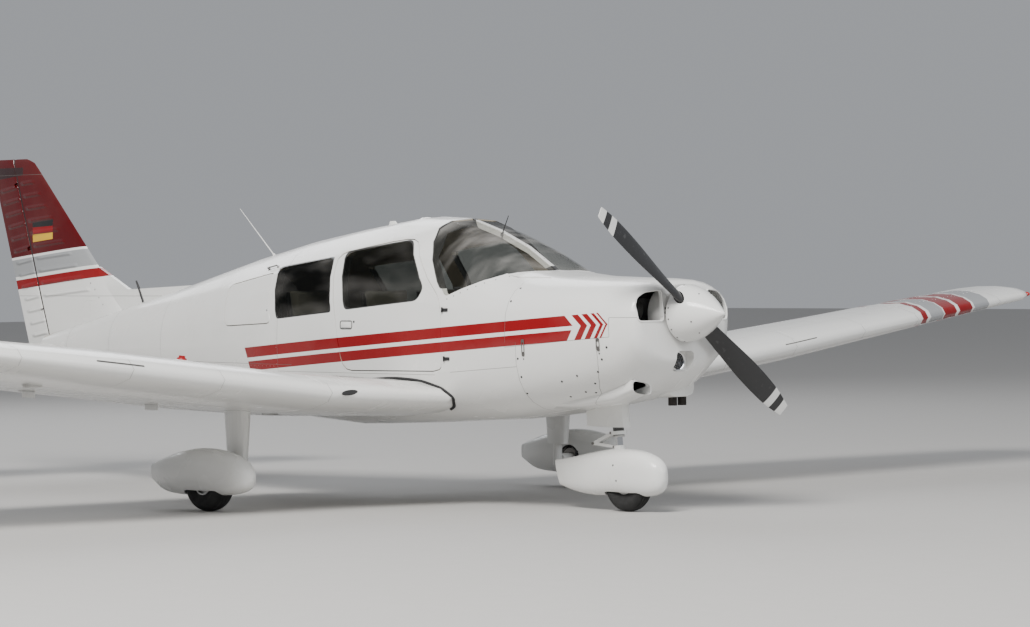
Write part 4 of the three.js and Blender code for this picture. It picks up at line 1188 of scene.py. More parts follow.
def makeBrake(name, spec, side):
    inboard, hole, disc, half = hubs["disc"]
    inner = spec["y"] - side * inboard
    bm = bmesh.new()
    profile = [(hole, -half), (disc, -half), (disc, half), (hole, half)]
    addLathe(bm, profile, at(spec["station"], inner, spec["radius"]), wayPort, 48, closed=True)
    makePiece(name + "_brake_disc", bm, "steel", spec["body"])
    bm = bmesh.new()
    block = hubs["caliper"]
    low, high = [
        at(spec["station"] - ahead, inner + way * block["half"], spec["radius"] + above)
        for ahead, above, way in zip(block["ahead"], block["above"], (-1, 1))
    ]
    addBox(bm, low, high, 0.003)
    makePiece(name + "_brake_caliper", bm, "black_metal", "airframe")
    bm = bmesh.new()
    edge = hubs["edge"]
    middle = at(spec["station"], spec["y"] - side * edge["inboard"], spec["radius"])
    reach = pants["brakeOpening"] + edge["gap"]
    addTube(bm, [middle + reach * Vector((-c, 0, s)) for c, s in circle(48)], edge["radius"], 8, close=True)
    makePiece(name + "_opening_edge", bm, "rubber", "airframe")


def makePantScrews():
    bm = bmesh.new()
    skin = BVHTree.FromObject(bpy.data.objects["nose_wheel_pant"], bpy.context.evaluated_depsgraph_get())
    for station, z in pants["screws"]:
        for side in (1, -1):
            found = onSkin(skin, at(station, 0.3 * side, z), -side * wayPort)
            addStud(bm, found, *pants["screw"], 10)
    makePiece("nose_pant_screws", bm, "black_metal", "nose_gear")


makePantScrews()
for name, spec in wheels.items():
    makeHub(name, spec)
makeBrake("main_left", wheels["main_left"], 1)
makeBrake("main_right", wheels["main_right"], -1)
print("gear ready")


# Nose leg: bright piston, link pins and a wiper ring

leg = {
    "foot": (0.868, 0.200),
    "rake": 5.07,
    "piston": 0.0216,
    "pistonSpan": (0.384, 0.450),
    # station and height of each pin, their radius and half length
    "pins": [(1.093, 0.392), (0.912, 0.377), (0.938, 0.459)],
    "pin": (0.008, 0.024),
    "wiperZ": 0.4355,
    "wiper": [(0.0225, 0.0), (0.035, 0.0), (0.036, 0.006), (0.034, 0.010), (0.0225, 0.010)],
}


def onSteering(z):
    tangent = math.tan(math.radians(leg["rake"]))
    station, foot = leg["foot"]
    return at(station + (z - foot) * tangent, 0, z)


def makeNoseLeg():
    bm = bmesh.new()
    low, high = [onSteering(z) for z in leg["pistonSpan"]]
    addRod(bm, low, high, leg["piston"], sides=32)
    makePiece("nose_piston", bm, "chrome", "nose_gear")
    bm = bmesh.new()
    radius, half = leg["pin"]
    for station, z in leg["pins"]:
        addRod(bm, at(station, -half, z), at(station, half, z), radius, sides=12)
    makePiece("nose_link_pins", bm, "steel", "nose_gear")
    bm = bmesh.new()
    addLathe(bm, leg["wiper"], onSteering(leg["wiperZ"]), high - low, 36, closed=True)
    makePiece("nose_leg_wiper", bm, "alloy", "airframe")


makeNoseLeg()


# Exhaust stubs and landing lamp

exhaust = {
    "station": 0.634, "y": (0.194, 0.271), "bottom": 0.619, "top": 0.82,
    "radius": 0.026, "wall": 0.0022, "plug": 0.01,
}


def makeExhaust():
    bm = bmesh.new()
    outer, inner = exhaust["radius"], exhaust["radius"] - exhaust["wall"]
    length = exhaust["top"] - exhaust["bottom"]
    end = length - exhaust["plug"]
    profile = [(0.0, length), (outer, length), (outer, 0.0), (inner, 0.0), (inner, end), (0.0, end)]
    for y in exhaust["y"]:
        addLathe(bm, profile, at(exhaust["station"], y, exhaust["bottom"]), wayUp, 28)
    piece = makePiece("exhaust_stubs", bm, "exhaust", "airframe")
    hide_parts("exhaust_pipes")


lamp = {
    "front": 0.388,
    "rear": 0.440,
    "z": 0.888,
    "radius": 0.0578,
    "sleeve": 0.004,
    "glass": 0.3965,
    "rings": 5,
    # count and share of the radius of each ring of cells, then a cell's radii and length
    "cells": [(1, 0.0), (6, 0.36), (12, 0.70)],
    "cell": (0.0042, 0.0030, 0.004),
    "opening": [(-0.0612, 0.8306), (0.0752, 0.8306), (0.0752, 0.9454), (-0.0612, 0.9454)],
    "corner": 0.030,
    "recessRear": 0.396,
    "castWider": 1.04,
}


def makeLamp():
    centre = at(lamp["front"], 0, lamp["z"])
    depth = lamp["rear"] - lamp["front"]
    bm = bmesh.new()
    outer = lamp["radius"]
    inner = outer - lamp["sleeve"]
    profile = [(inner, 0.0), (outer, 0.0), (outer, depth), (inner, depth)]
    addLathe(bm, profile, centre, wayAft, 48, closed=True)
    piece = makePiece("lamp_sleeve", bm, "plain", "airframe")
    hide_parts("landing_lamp")
    bm = bmesh.new()
    glass = lamp["glass"] - lamp["front"]
    profile = [(0.0, glass - 0.004)]
    steps = 2 * lamp["rings"]
    for i in range(1, steps + 1):
        rise = (0.004 if i % 2 else 0.001) * math.cos(0.5 * math.pi * i / steps)
        profile.append(((inner - 0.003) * i / steps, glass - rise))
    profile += [(inner - 0.002, glass + 0.004), (0.0, glass + 0.004)]
    addLathe(bm, profile, centre, wayAft, 48)
    makePiece("lamp_lens", bm, "lamp_lens", "airframe", 20)
    bm = bmesh.new()
    near, far = inner - 0.006, inner - 0.0005
    profile = [(near, glass - 0.006), (far, glass - 0.008), (far, glass + 0.006), (near, glass)]
    addLathe(bm, profile, centre, wayAft, 48, closed=True)
    makePiece("lamp_bezel", bm, "chrome", "airframe")
    bm = bmesh.new()
    rear, front, length = lamp["cell"]
    for count, share in lamp["cells"]:
        for c, s in circle(count):
            place = at(lamp["glass"] - 0.003, share * inner * c, lamp["z"] + share * inner * s)
            addRod(bm, place, place - length * wayAft, rear, front, 10)
    makePiece("lamp_cells", bm, "steel", "airframe")
    outline = roundedOutline(lamp["opening"], lamp["corner"], 6)
    front, back, hole = [], [], []
    wider, rear = lamp["castWider"], lamp["recessRear"]
    for y, z in outline:
        found = fromAhead(cowlSkin, wider * y, lamp["z"] + wider * (z - lamp["z"]))
        front.append(Vector((found[0].x - 0.003, y, z)))
        back.append(at(rear, y, z))
        hole.append(at(rear, 0, lamp["z"]) + outer * Vector((0, y, z - lamp["z"])).normalized())
    bm = bmesh.new()
    addLoft(bm, [front, back, hole], caps=False)
    makePiece("lamp_recess", bm, "plain", "airframe")


cowlSkin = skinOf("cowl_lower", "cowl_upper")
makeExhaust()
makeLamp()


# Cooling inlets: a rolled lip round each, black baffles and the front cylinders' fins inside

inlets = {
    "middle": (0.25, 1.21),
    "castWider": 1.012,
    "rim": [(0.165, 1.124), (0.358, 1.124), (0.366, 1.212), (0.342, 1.260), (0.292, 1.291), (0.185, 1.302)],
    "corner": 0.026,
    "lip": 0.0048,
    "collar": [
        (0.139, 0.350), (0.158, 0.352), (0.162, 0.400), (0.162, 0.470), (0.150, 0.470), (0.139, 0.400),
    ],
    # y and z of the two corners of each baffle
    "baffles": [((0.10, 1.252), (0.27, 1.312)), ((0.335, 1.070), (0.395, 1.205))],
    "baffle": (0.522, 0.526),
    "fins": {
        "count": 9, "radius": 0.062, "half": 0.001, "pitch": 0.0085, "y": 0.225, "z": 1.185, "station": 0.540,
    },
}


def makeInlets():
    lips, baffles, fins, collar = newMeshes(4)
    spec = inlets["fins"]
    middle = Vector(inlets["middle"])
    baffleFront, baffleRear = inlets["baffle"]
    for side in (1, -1):
        ring = []
        for point in roundedOutline(inlets["rim"], inlets["corner"], 5):
            y, z = middle.lerp(point, inlets["castWider"])
            found = fromAhead(cowlSkin, side * y, z)
            if found:
                ring.append(found[0] + 0.001 * found[1])
        addTube(lips, ring, inlets["lip"], 8, close=True)
        for (near, bottom), (far, top) in inlets["baffles"]:
            addBox(baffles, at(baffleRear, side * near, bottom), at(baffleFront, side * far, top))
        for k in range(spec["count"]):
            y = side * (spec["y"] + (k - spec["count"] // 2) * spec["pitch"])
            near, far = [at(spec["station"], y + way * spec["half"], spec["z"]) for way in (-1, 1)]
            addRod(fins, near, far, spec["radius"], sides=24)
    makePiece("inlet_lips", lips, "plain", "airframe")
    addLathe(collar, inlets["collar"], at(0, 0, axisZ), wayAft, 64, closed=True)
    makePiece("inlet_collar", collar, "plain", "airframe")
    makePiece("inlet_baffles", baffles, "rubber", "airframe")
    makePiece("cylinder_fins", fins, "alloy", "airframe")


makeInlets()
print("nose ready")


# Fasteners, latches, hinges and handles, set on the skin by rays from the side

fuselageSkin = skinOf(*nodeFinish["fuselage"], "fin")
wingSkins = {1: skinOf("wing_left"), -1: skinOf("wing_right")}


# A frame on the skin: aft along it, across it and out of it
def skinFrame(found, ahead=wayAft):
    hit, normal = found
    along = (ahead - normal * ahead.dot(normal)).normalized()
    return axes(along, normal.cross(along), normal), hit


def addPlate(bm, found, length, width, thick, lift=0.0, bevel=0.0):
    if not found:
        return
    turn, hit = skinFrame(found)
    centre = hit + found[1] * (lift + thick / 2 - 0.0005)
    addBlock(bm, centre, turn, (length, width, thick), bevel)


cowlFittings = {
    "screws": [
        (1.180, 0.798), (1.190, 0.700), (1.185, 0.905), (0.525, 0.976), (0.575, 0.906), (0.631, 0.833),
        (0.693, 0.764), (0.741, 0.709), (0.901, 0.774), (0.777, 0.809), (0.923, 0.683), (0.792, 0.713),
        (1.262, 1.315), (1.268, 1.240),
    ],
    "screw": (0.0075, 0.0022),
    "bowlScrews": [(0.150, 1.196), (0.150, 1.171)],
    "bowlScrew": (0.008, 0.002),
    "frameScrews": {"from": (1.440, 1.385), "to": (1.800, 1.253), "count": 8},
    "postScrews": (1.52, 1.60, 1.68, 1.76, 1.84),
    "frameScrew": (0.0042, 0.0012),
    "latches": [(1.138, 0.922, 1.018), (0.583, 0.958, 1.027)],
    "bead": [(1.173, 0.266), (1.268, 0.294), (1.365, 0.321), (1.465, 0.351), (1.525, 0.389), (1.585, 0.427)],
    "latchWidth": 0.018,
    "latchWire": 0.0028,
}


def makeCowlFittings():
    screws, latches, beads, small = newMeshes(4)
    for side in (1, -1):
        for station, z in cowlFittings["screws"]:
            addStud(screws, fromSide(station, z, side), *cowlFittings["screw"], 10)
        for y, z in cowlFittings["bowlScrews"]:
            addStud(screws, fromAhead(cowlSkin, side * y, z), *cowlFittings["bowlScrew"], 10)
        spec = cowlFittings["frameScrews"]
        for i in range(spec["count"]):
            share = i / (spec["count"] - 1)
            station, z = [a + share * (b - a) for a, b in zip(spec["from"], spec["to"])]
            addStud(small, fromSide(station, z, side), *cowlFittings["frameScrew"])
        for station, low, high in cowlFittings["latches"]:
            half = cowlFittings["latchWidth"] / 2
            front, rear = station - half, station + half
            corners = [(front, low), (rear, low), (rear, high), (front, high)]
            places = [fromSide(s, z, side) for s, z in roundedOutline(corners, 0.008, 3)]
            loop = [hit + 0.003 * normal for hit, normal in places]
            addTube(latches, loop, cowlFittings["latchWire"], 6, close=True)
            addPlate(latches, fromSide(station, low + 0.012, side), 0.014, 0.024, 0.005, bevel=0.001)
            addPlate(latches, fromSide(station, high - 0.010, side), 0.012, 0.014, 0.004, bevel=0.001)
            addStud(screws, fromSide(station, low - 0.018, side), 0.005, 0.002, 10)
        bead = [fromAbove(fuselageSkin, s, side * y) for s, y in cowlFittings["bead"]]
        addTube(beads, [hit + 0.001 * normal for hit, normal in bead], 0.0036, 6)
    for station in cowlFittings["postScrews"]:
        addStud(small, fromAbove(fuselageSkin, station, 0), *cowlFittings["frameScrew"])
    makePiece("windshield_screws", small, "steel", "airframe")
    makePiece("cowl_beads", beads, "plain", "airframe")
    makePiece("cowl_screws", screws, "black_metal", "airframe")
    makePiece("cowl_latches", latches, "steel", "airframe")


doorFittings = {
    "hinges": [(1.803, 1.189), (1.786, 0.898)],
    "leaf": (0.052, 0.020, 0.006),
    # how far aft and out of the leaf's middle, half length, radius
    "pin": (0.020, 0.007, 0.016, 0.005),
    "handle": (2.715, 1.095),
    "handleSize": (0.0565, 0.024),
    "handleWire": 0.0026,
    "lever": (0.096, 0.0348, 0.006),
    "lock": ((2.640, 1.114), 0.0075, 0.003),
    "baggageLock": ((3.580, 1.180), 0.0065, 0.003),
    "grab": ((3.600, 1.452), (3.705, 1.436)),
    "grabRise": 0.016,
    "grabWire": 0.0045,
    "grabFoot": (0.011, 0.003),
}


def makeDoorFittings():
    spec = doorFittings
    hinges = bmesh.new()
    back, out, half, radius = spec["pin"]
    for place in spec["hinges"]:
        found = fromSide(*place, -1)
        addPlate(hinges, found, *spec["leaf"], bevel=0.0015)
        turn, hit = skinFrame(found)
        aft, up = turn.to_3x3().col[0], turn.to_3x3().col[1]
        pin = hit + found[1] * out + aft * back
        addRod(hinges, pin - half * up, pin + half * up, radius, sides=12)
    makePiece("door_hinges", hinges, "black_metal", "airframe")
    handle = bmesh.new()
    found = fromSide(*spec["handle"], -1)
    turn, hit = skinFrame(found)
    side = turn.to_3x3()
    half, rise = spec["handleSize"]
    corners = [(-half, -rise), (half, -rise), (half, rise), (-half, rise)]
    loop = [hit + side @ Vector((x, y, 0.0012)) for x, y in roundedOutline(corners, 0.014, 4)]
    addTube(handle, loop, spec["handleWire"], 6, close=True)
    place, radius, height = spec["lock"]
    addStud(handle, fromSide(*place, -1), radius, height, 14)
    makePiece("door_handle_edge", handle, "black_metal", "cabin_door")
    handle = bmesh.new()
    addPlate(handle, found, *spec["lever"], bevel=0.003)
    makePiece("door_handle", handle, "plain", "cabin_door")
    lock = bmesh.new()
    place, radius, height = spec["baggageLock"]
    addStud(lock, fromSide(*place, -1), radius, height, 14)
    makePiece("baggage_lock", lock, "chrome", "baggage_door")
    grab = bmesh.new()
    ends = [fromSide(*place, -1) for place in spec["grab"]]
    front, rear = [hit for hit, normal in ends]
    near, far = [hit + spec["grabRise"] * normal for hit, normal in ends]
    addTube(grab, [front, near, (near + far) / 2, far, rear], spec["grabWire"], 10)
    for end in ends:
        addStud(grab, end, *spec["grabFoot"], 14)
    makePiece("grab_handle", grab, "steel", "airframe")


makeCowlFittings()
makeDoorFittings()
print("fittings ready")


# Antennas, probes, lights and small things on the wings and tail

# Rods by their ends, radii and sides: the whip and its foot; the mast, the probe and its foot
rooftop = {
    "whiteRods": [
        ((4.077, 0, 1.512), (4.442, 0, 1.831), 0.0042, 0.00168, 10),
        ((4.072, 0, 1.500), (4.100, 0, 1.535), 0.016, 0.007, 16),
    ],
    "blackRods": [
        ((5.482, -0.010, 1.222), (5.556, -0.016, 1.364), 0.012, 0.006, 12),
        ((1.872, -0.020, 1.636), (1.812, -0.020, 1.749), 0.0038, 0.00228, 10),
        ((1.876, -0.020, 1.628), (1.868, -0.020, 1.644), 0.010, 0.008, 16),
    ],
    # half length and width, then rise and share of them at each ring
    "blade": {
        "station": 2.900,
        "half": (0.055, 0.011),
        "rings": [(-0.004, 1.0), (0.018, 0.72), (0.036, 0.5)],
    },
    "dome": {"station": 2.585, "radius": 0.050, "shape": (1.2, 0.8, 0.36, 1)},
}


def addRods(bm, rods):
    for base, tip, radius, endRadius, sides in rods:
        addRod(bm, at(*base), at(*tip), radius, endRadius, sides)


def makeRooftop():
    bm = bmesh.new()
    addRods(bm, rooftop["whiteRods"])
    blade = rooftop["blade"]
    foot = fromAbove(fuselageSkin, blade["station"], 0)[0]
    long, wide = blade["half"]
    addLoft(bm, [
        [foot + Vector((long * share * c - 0.3 * rise, wide * share * s, rise)) for c, s in circle(16)]
        for rise, share in blade["rings"]
    ])
    dome = rooftop["dome"]
    foot = fromAbove(fuselageSkin, dome["station"], 0)[0]
    place = Matrix.Translation(foot) @ Matrix.Diagonal(dome["shape"])
    bmesh.ops.create_uvsphere(bm, u_segments=24, v_segments=12, radius=dome["radius"], matrix=place)
    makePiece("roof_antennas", bm, "plain", "airframe")
    bm = bmesh.new()
    addRods(bm, rooftop["blackRods"])
    makePiece("black_antennas", bm, "black_metal", "airframe")


wingFittings = {
    "fuelCap": (2.390, 2.070),
    # radius and height of the white ring and the red cap, then the grip's size
    "capRing": (0.046, 0.003),
    "cap": (0.034, 0.014),
    "grip": (0.050, 0.012, 0.016),
    "airHole": {"y": 1.140, "z": 0.712, "radii": (0.055, 0.019), "depth": 0.006},
    "stallStrip": ((2.610, 0.905), (2.924, 0.944)),
    "stripSize": 0.0055,
    "brackets": [0.763, 1.664, 2.565],
    "bracket": {"ends": (3.160, 3.285), "half": 0.0025, "drop": 0.034, "rise": 0.01},
    "light": {"station": 2.300, "y": 5.312, "z": 1.196, "radius": 0.017, "stretch": 2.6},
}


def makeWingFittings():
    caps, strips, holes, white = newMeshes(4)
    for side, skin in wingSkins.items():
        station, y = wingFittings["fuelCap"]
        found = fromAbove(skin, station, side * y)
        addStud(white, found, *wingFittings["capRing"], 28)
        addStud(caps, found, *wingFittings["cap"], 28)
        addPlate(caps, found, *wingFittings["grip"], lift=0.012, bevel=0.003)
        # Each air hole is a flat black disc on the skin, in the rubber finish: painted shade standing in for
        # the opening
        hole = wingFittings["airHole"]
        turn, hit = skinFrame(fromAhead(skin, side * hole["y"], hole["z"]), wayPort)
        place = Matrix.Translation(hit) @ turn @ Matrix.Diagonal((*hole["radii"], 1, 1))
        bmesh.ops.create_cone(
            holes, cap_ends=True, segments=28, radius1=1, radius2=1, depth=hole["depth"], matrix=place,
        )
        inner, outer = [Vector((y, z)) for y, z in wingFittings["stallStrip"]]
        edge = []
        for i in range(9):
            y, z = inner.lerp(outer, i / 8)
            found = fromAhead(skin, side * y, z)
            if found:
                edge.append(found[0] + 0.001 * found[1])
        addTube(strips, edge, wingFittings["stripSize"], 3)
        plate = wingFittings["bracket"]
        for y in wingFittings["brackets"]:
            found = [fromBelow(skin, station, side * y) for station in plate["ends"]]
            if all(found):
                front, rear = [hit for hit, normal in found]
                low = Vector((rear.x, side * y - plate["half"], min(front.z, rear.z) - plate["drop"]))
                high = Vector((front.x, side * y + plate["half"], max(front.z, rear.z) + plate["rise"]))
                addBox(white, low, high, 0.001)
        light = wingFittings["light"]
        lens = bmesh.new()
        place = Matrix.Translation(at(light["station"], side * light["y"], light["z"]))
        place = place @ Matrix.Diagonal((light["stretch"], 1, 1, 1))
        bmesh.ops.create_uvsphere(lens, u_segments=20, v_segments=12, radius=light["radius"], matrix=place)
        name, color = ("port", "red_lens") if side > 0 else ("starboard", "green_lens")
        makePiece(f"tip_light_{name}", lens, color, "airframe")
    makePiece("fuel_caps", caps, "cap_red", "airframe")
    makePiece("wing_rims", strips, "steel", "airframe")
    # the air holes' black discs are painted shade inside the openings
    makePiece("air_holes", holes, "rubber", "airframe")
    makePiece("wing_brackets", white, "plain", "airframe")


makeRooftop()
makeWingFittings()


# A black seal along each wing root, where the skin of the fuselage meets the wing

rootSeal = {
    "radius": 0.0105,
    "lift": 0.008,
    "y": 0.60,
    "centre": 2.15,
    "rear": 3.25,
    # points aft of the centre and round the leading edge
    "aft": 22,
    "round": 40,
    "reach": (0.6, 0.16),
}


def makeRootSeals():
    bm = bmesh.new()
    spec = rootSeal
    for side, skin in wingSkins.items():
        y = side * spec["y"]
        top, low = fromAbove(skin, spec["centre"], y)[0].z, fromBelow(skin, spec["centre"], y)[0].z
        middle = at(spec["centre"], y, (top + low) / 2)
        rays = []
        for i in range(spec["aft"]):
            x = (spec["centre"] - spec["rear"]) * (spec["aft"] - i) / spec["aft"]
            rays.append((Vector((x, 0, 1)), wayUp))
        for i in range(spec["round"] + 1):
            a = math.pi * i / spec["round"]
            away = Vector((spec["reach"][0] * math.sin(a), 0, spec["reach"][1] * math.cos(a)))
            rays.append((away, away.normalized()))
        rays += [(Vector((start.x, 0, -1)), -wayUp) for start, away in rays[:spec["aft"]][::-1]]
        points = []
        for start, away in rays:
            place = middle.copy()
            wall = None
            for attempt in range(4):
                hit = onSkin(skin, place + start, -away)
                wall = fromSide(noseX - hit[0].x, (hit[0] + spec["lift"] * away).z, side) if hit else None
                if not wall:
                    break
                place.y = wall[0].y + 0.003 * side
            if wall:
                ahead = Vector((spec["lift"] * away.x, 0, 0))
                points.append(wall[0] + ahead + 0.001 * wall[1])
        for attempt in range(3):
            inner = [(a + 2 * b + c) / 4 for a, b, c in zip(points, points[1:], points[2:])]
            points = [points[0], *inner, points[-1]]
        addTube(bm, points, spec["radius"], 6)
    makePiece("wing_root_seals", bm, "rubber", "airframe")


makeRootSeals()
print("wing fittings ready")


# Rivets: rows along the wing's spars and ribs, the tail cone and the fin's foot

rivets = {
    "radius": 0.0026,
    "height": 0.0007,
    "pitch": 0.045,
    "besideLine": 0.012,
    "rows": (1.3, 4.9),
    "chord": (0.05, 1.0),
    "tailRow": {"from": 3.5, "to": 6.5, "z": 0.830},
    "ring": 60,
    "finFoot": [(5.991, 1.307), (5.945, 1.252), (5.900, 1.205), (6.040, 1.350)],
    "finScrew": (0.006, 0.0015),
}


def wingLeading(y):
    return wingPlan["leading"] + max(0.0, y - wingPlan["kink"]) * wingPlan["sweep"]


def makeRivets():
    bm = bmesh.new()
    pitch, beside = rivets["pitch"], rivets["besideLine"]

    def put(found):
        addStud(bm, found, rivets["radius"], rivets["height"], 6)

    # Distances along a row, one pitch apart
    def row(start, end):
        return [start + i * pitch for i in range(int((end - start) / pitch))]

    for side, skin in wingSkins.items():
        places = []
        for back in wingPlan["spars"][:2]:
            places += [(wingLeading(y) + back + beside, y) for y in row(*rivets["rows"])]
        for y in wingPlan["ribs"][:-1]:
            places += [(wingLeading(y) + back, y + beside) for back in row(*rivets["chord"])]
        for station, y in places:
            for cast in (fromAbove, fromBelow):
                put(cast(skin, station, side * y))
        for station in fuselageJoints["tailRings"]:
            for c, s in circle(rivets["ring"]):
                if side * c > 0:
                    out = Vector((0, c, s))
                    put(onSkin(fuselageSkin, at(station + beside, 0, 0.95) + 1.5 * out, -out))
        tail = rivets["tailRow"]
        for station in row(tail["from"], tail["to"]):
            put(fromSide(station, tail["z"], side))
        for station, z in rivets["finFoot"]:
            addStud(bm, fromSide(station, z, side), *rivets["finScrew"], 10)
    makePiece("rivets", bm, "alloy", "airframe")


makeRivets()
print("rivets ready")


# Seats: a frame and two cloth pads each

seats = {
    "front_seat_left": {"front": 2.160, "y": (0.045, 0.410)},
    "front_seat_right": {"front": 2.160, "y": (-0.410, -0.045)},
    "rear_seat": {"front": 2.960, "y": (-0.355, 0.355)},
}
pad = {
    "cushionTop": 0.845,
    "cushionDepth": 0.115,
    "backTop": 1.352,
    "backDepth": 0.080,
    "margin": 0.016,
    "voxel": 0.006,
    "pressure": 4.0,
    "cap": 0.014,
    "frames": 20,
    "seam": 0.0028,
}
floorZ = 0.620
# Stations from the seat's front, and heights over the floor
seatFrame = {
    "length": 0.455,
    "backStart": 0.440,
    "backLength": 0.535,
    "pan": (0.03, 0.50, 0.085),
    "legs": (0.05, 0.47),
    "leg": 0.011,
    "rail": (0.02, 0.49, 0.012),
    "inset": 0.05,
    "shell": (0.50, 0.014),
}


def swell(piece):
    remesh = piece.modifiers.new("remesh", "REMESH")
    remesh.mode = "VOXEL"
    remesh.voxel_size = pad["voxel"]
    applyModifiers(piece)
    start = [vert.co.copy() for vert in piece.data.vertices]
    cloth = piece.modifiers.new("cloth", "CLOTH")
    cloth.settings.use_pressure = True
    cloth.settings.uniform_pressure_force = pad["pressure"]
    cloth.settings.effector_weights.gravity = 0
    cloth.settings.quality = 4
    cloth.point_cache.frame_end = pad["frames"]
    scene = bpy.context.scene
    for number in range(1, pad["frames"] + 1):
        scene.frame_set(number)
    applyModifiers(piece)
    scene.frame_set(1)
    for vert, before in zip(piece.data.vertices, start):
        move = vert.co - before
        if move.length > pad["cap"]:
            vert.co = before + move.normalized() * pad["cap"]
    smooth = piece.modifiers.new("smooth", "SMOOTH")
    smooth.factor = 0.5
    smooth.iterations = 4
    applyModifiers(piece)
    for face in piece.data.polygons:
        face.use_smooth = True


def applyModifiers(piece):
    graph = bpy.context.evaluated_depsgraph_get()
    mesh = bpy.data.meshes.new_from_object(piece.evaluated_get(graph))
    old = piece.data
    piece.modifiers.clear()
    piece.data = mesh
    bpy.data.meshes.remove(old)


# A pad laid along two directions, with a welt round its middle
def makePad(name, corner, along, across, up, length, width, thick):
    bm = bmesh.new()
    inset = pad["margin"]
    size = [side - 2 * inset for side in (length, width, thick)]
    centre = corner + (along * length + across * width + up * thick) / 2
    addBlock(bm, centre, axes(along, across, up), size, 0.3 * size[2], 4)
    piece = makePiece(name, bm, "fabric", "airframe")
    swell(piece)
    bm = bmesh.new()
    halfX, halfY = length / 2 - 1.3 * inset, width / 2 - 1.3 * inset
    outline = [(-halfX, -halfY), (halfX, -halfY), (halfX, halfY), (-halfX, halfY)]
    tree = BVHTree.FromObject(piece, bpy.context.evaluated_depsgraph_get())
    loop = []
    for x, y in roundedOutline(outline, 0.04, 5):
        away = along * x + across * y
        hit = tree.ray_cast(centre + away * 1.6, -away)[0]
        loop.append(hit if hit else centre + away)
    addTube(bm, loop, pad["seam"], 6, close=True)
    makePiece(name + "_welt", bm, "fabric", "airframe")
    return piece


def makeSeat(name, spec):
    low, high = spec["y"]
    width = high - low
    front = spec["front"]
    x, y, z = wayAft, wayPort, wayUp
    top, depth = pad["cushionTop"], pad["cushionDepth"]
    part = seatFrame
    halves = 2 if width > 0.5 else 1
    share = width / halves
    lean = Vector((-0.085, 0, pad["backTop"] - top + 0.03)).normalized()
    for k in range(halves):
        side = low + k * share
        corner = at(front + 0.004, side, top - depth)
        makePad(f"{name}_cushion_{k + 1}", corner, x, y, z, part["length"], share, depth)
        makePad(
            f"{name}_back_{k + 1}", at(front + part["backStart"], side, top - 0.045), lean, y, lean.cross(y),
            part["backLength"], share, pad["backDepth"],
        )
    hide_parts(name)
    bm = bmesh.new()
    near, far, rise = part["pan"]
    bottom = at(front + far, low + near, floorZ + rise)
    addBox(bm, bottom, at(front + near, high - near, top - depth), 0.006)
    near, far, rise = part["rail"]
    half, foot = part["leg"], floorZ + 0.0005
    for side in (low + part["inset"], high - part["inset"]):
        for station in part["legs"]:
            place = at(front + station, side, foot)
            addRod(bm, place, place + 0.0895 * wayUp, half, sides=12)
        rail = at(front + far, side - half, foot)
        addBox(bm, rail, at(front + near, side + half, floorZ + rise))
    shell = at(front + 0.535, (low + high) / 2, top - 0.05) + lean * 0.25
    length, thick = part["shell"]
    addBlock(bm, shell, axes(lean, y, lean.cross(y)), (length, width - 0.06, thick))
    makePiece(name + "_frame", bm, "plastic", "airframe")


for name, spec in seats.items():
    makeSeat(name, spec)
print("seats ready")


# Instrument panel: dials, glare shield, radio stack and grips on the control wheels

panel = {
    "face": 1.800,
    "dialRadius": 0.040,
    "smallRadius": 0.022,
    "dials": [
        (0.400, 1.210), (0.305, 1.210), (0.210, 1.210), (0.400, 1.115), (0.305, 1.115), (0.210, 1.115),
        (-0.230, 1.215), (-0.320, 1.215), (-0.410, 1.205),
    ],
    "small": [(0.115, 1.200), (0.115, 1.140), (-0.180, 1.130), (-0.235, 1.130), (-0.290, 1.130)],
    "stack": {"y": (-0.085, 0.065), "z": (0.985, 1.245), "units": 5},
    "shield": {"front": 1.560, "rear": 1.850, "half": 0.440, "z": 1.306, "thick": 0.018},
    "column": {"y": 0.240, "z": 1.120, "reach": 1.975, "half": 0.126, "top": 1.205},
    # radii at the ends, and the hub's length
    "grip": (0.017, 0.0155),
    "hub": (0.034, 0.030, 0.038),
    "ticks": 12,
}


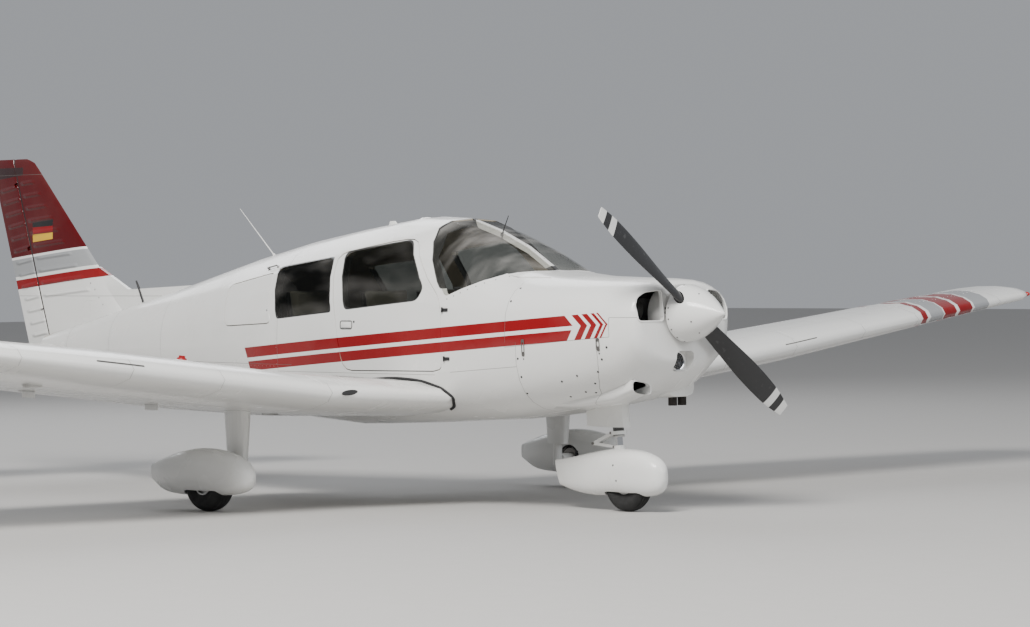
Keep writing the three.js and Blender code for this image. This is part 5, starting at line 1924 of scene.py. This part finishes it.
def makePanel():
    rings, faces, marks = newMeshes(3)
    dials = [(y, z, panel["dialRadius"]) for y, z in panel["dials"]]
    dials += [(y, z, panel["smallRadius"]) for y, z in panel["small"]]
    for index, (y, z, radius) in enumerate(dials):
        place = at(panel["face"], y, z)
        profile = [(0.86 * radius, 0.0), (radius, 0.0), (radius, 0.004), (0.88 * radius, 0.006)]
        addLathe(rings, profile, place, wayAft, 28, closed=True)
        addRod(faces, place, place + 0.002 * wayAft, 0.87 * radius, sides=28)
        for c, s in circle(panel["ticks"]):
            out = Vector((0, s, c))
            start = place + 0.0026 * wayAft + 0.68 * radius * out
            addRod(marks, start, start + 0.12 * radius * out, 0.0007, sides=4)
        a = 0.7 + 1.9 * index
        out = Vector((0, math.sin(a), math.cos(a)))
        start = place + 0.0032 * wayAft
        addRod(marks, start - 0.1 * radius * out, start + 0.6 * radius * out, 0.0012, 0.0004, 6)
    stack, face = panel["stack"], panel["face"]
    (right, left), (bottom, top) = stack["y"], stack["z"]
    unit = (top - bottom) / stack["units"]
    for k in range(stack["units"]):
        low = bottom + k * unit + 0.003
        addBox(rings, at(face + 0.006, right, low), at(face, left, low + unit - 0.006), 0.0015)
        for y in (right + 0.015, left - 0.015):
            knob = at(face + 0.005, y, low + unit / 2)
            addRod(rings, knob, knob + 0.013 * wayAft, 0.006, sides=12)
        screen = at(face + 0.0072, right + 0.03, low + 0.010)
        addBox(faces, screen, at(face + 0.006, left - 0.03, low + unit - 0.016))
    shield = panel["shield"]
    shade = bmesh.new()
    low = at(shield["rear"], -shield["half"], shield["z"])
    high = at(shield["front"], shield["half"], shield["z"] + shield["thick"])
    addBox(shade, low, high, 0.008)
    makePiece("glare_shield", shade, "plastic", "airframe")
    makePiece("panel_bezels", rings, "black_metal", "airframe")
    makePiece("panel_faces", faces, "dial", "airframe")
    makePiece("panel_marks", marks, "clear_lens", "airframe")
    column = panel["column"]
    grips = bmesh.new()
    for y in (column["y"], -column["y"]):
        for side in (1, -1):
            low = at(column["reach"] - 0.015, y + side * column["half"], column["z"] - 0.018)
            high = at(column["reach"] - 0.015, y + side * (column["half"] + 0.004), column["top"])
            addRod(grips, low, high, *panel["grip"], 16)
        front, rear, length = panel["hub"]
        hub = at(column["reach"] - 0.034, y, column["z"])
        addRod(grips, hub, hub + length * wayAft, front, rear, 24)
    makePiece("control_grips", grips, "plastic", "airframe")


makePanel()
print("panel ready")
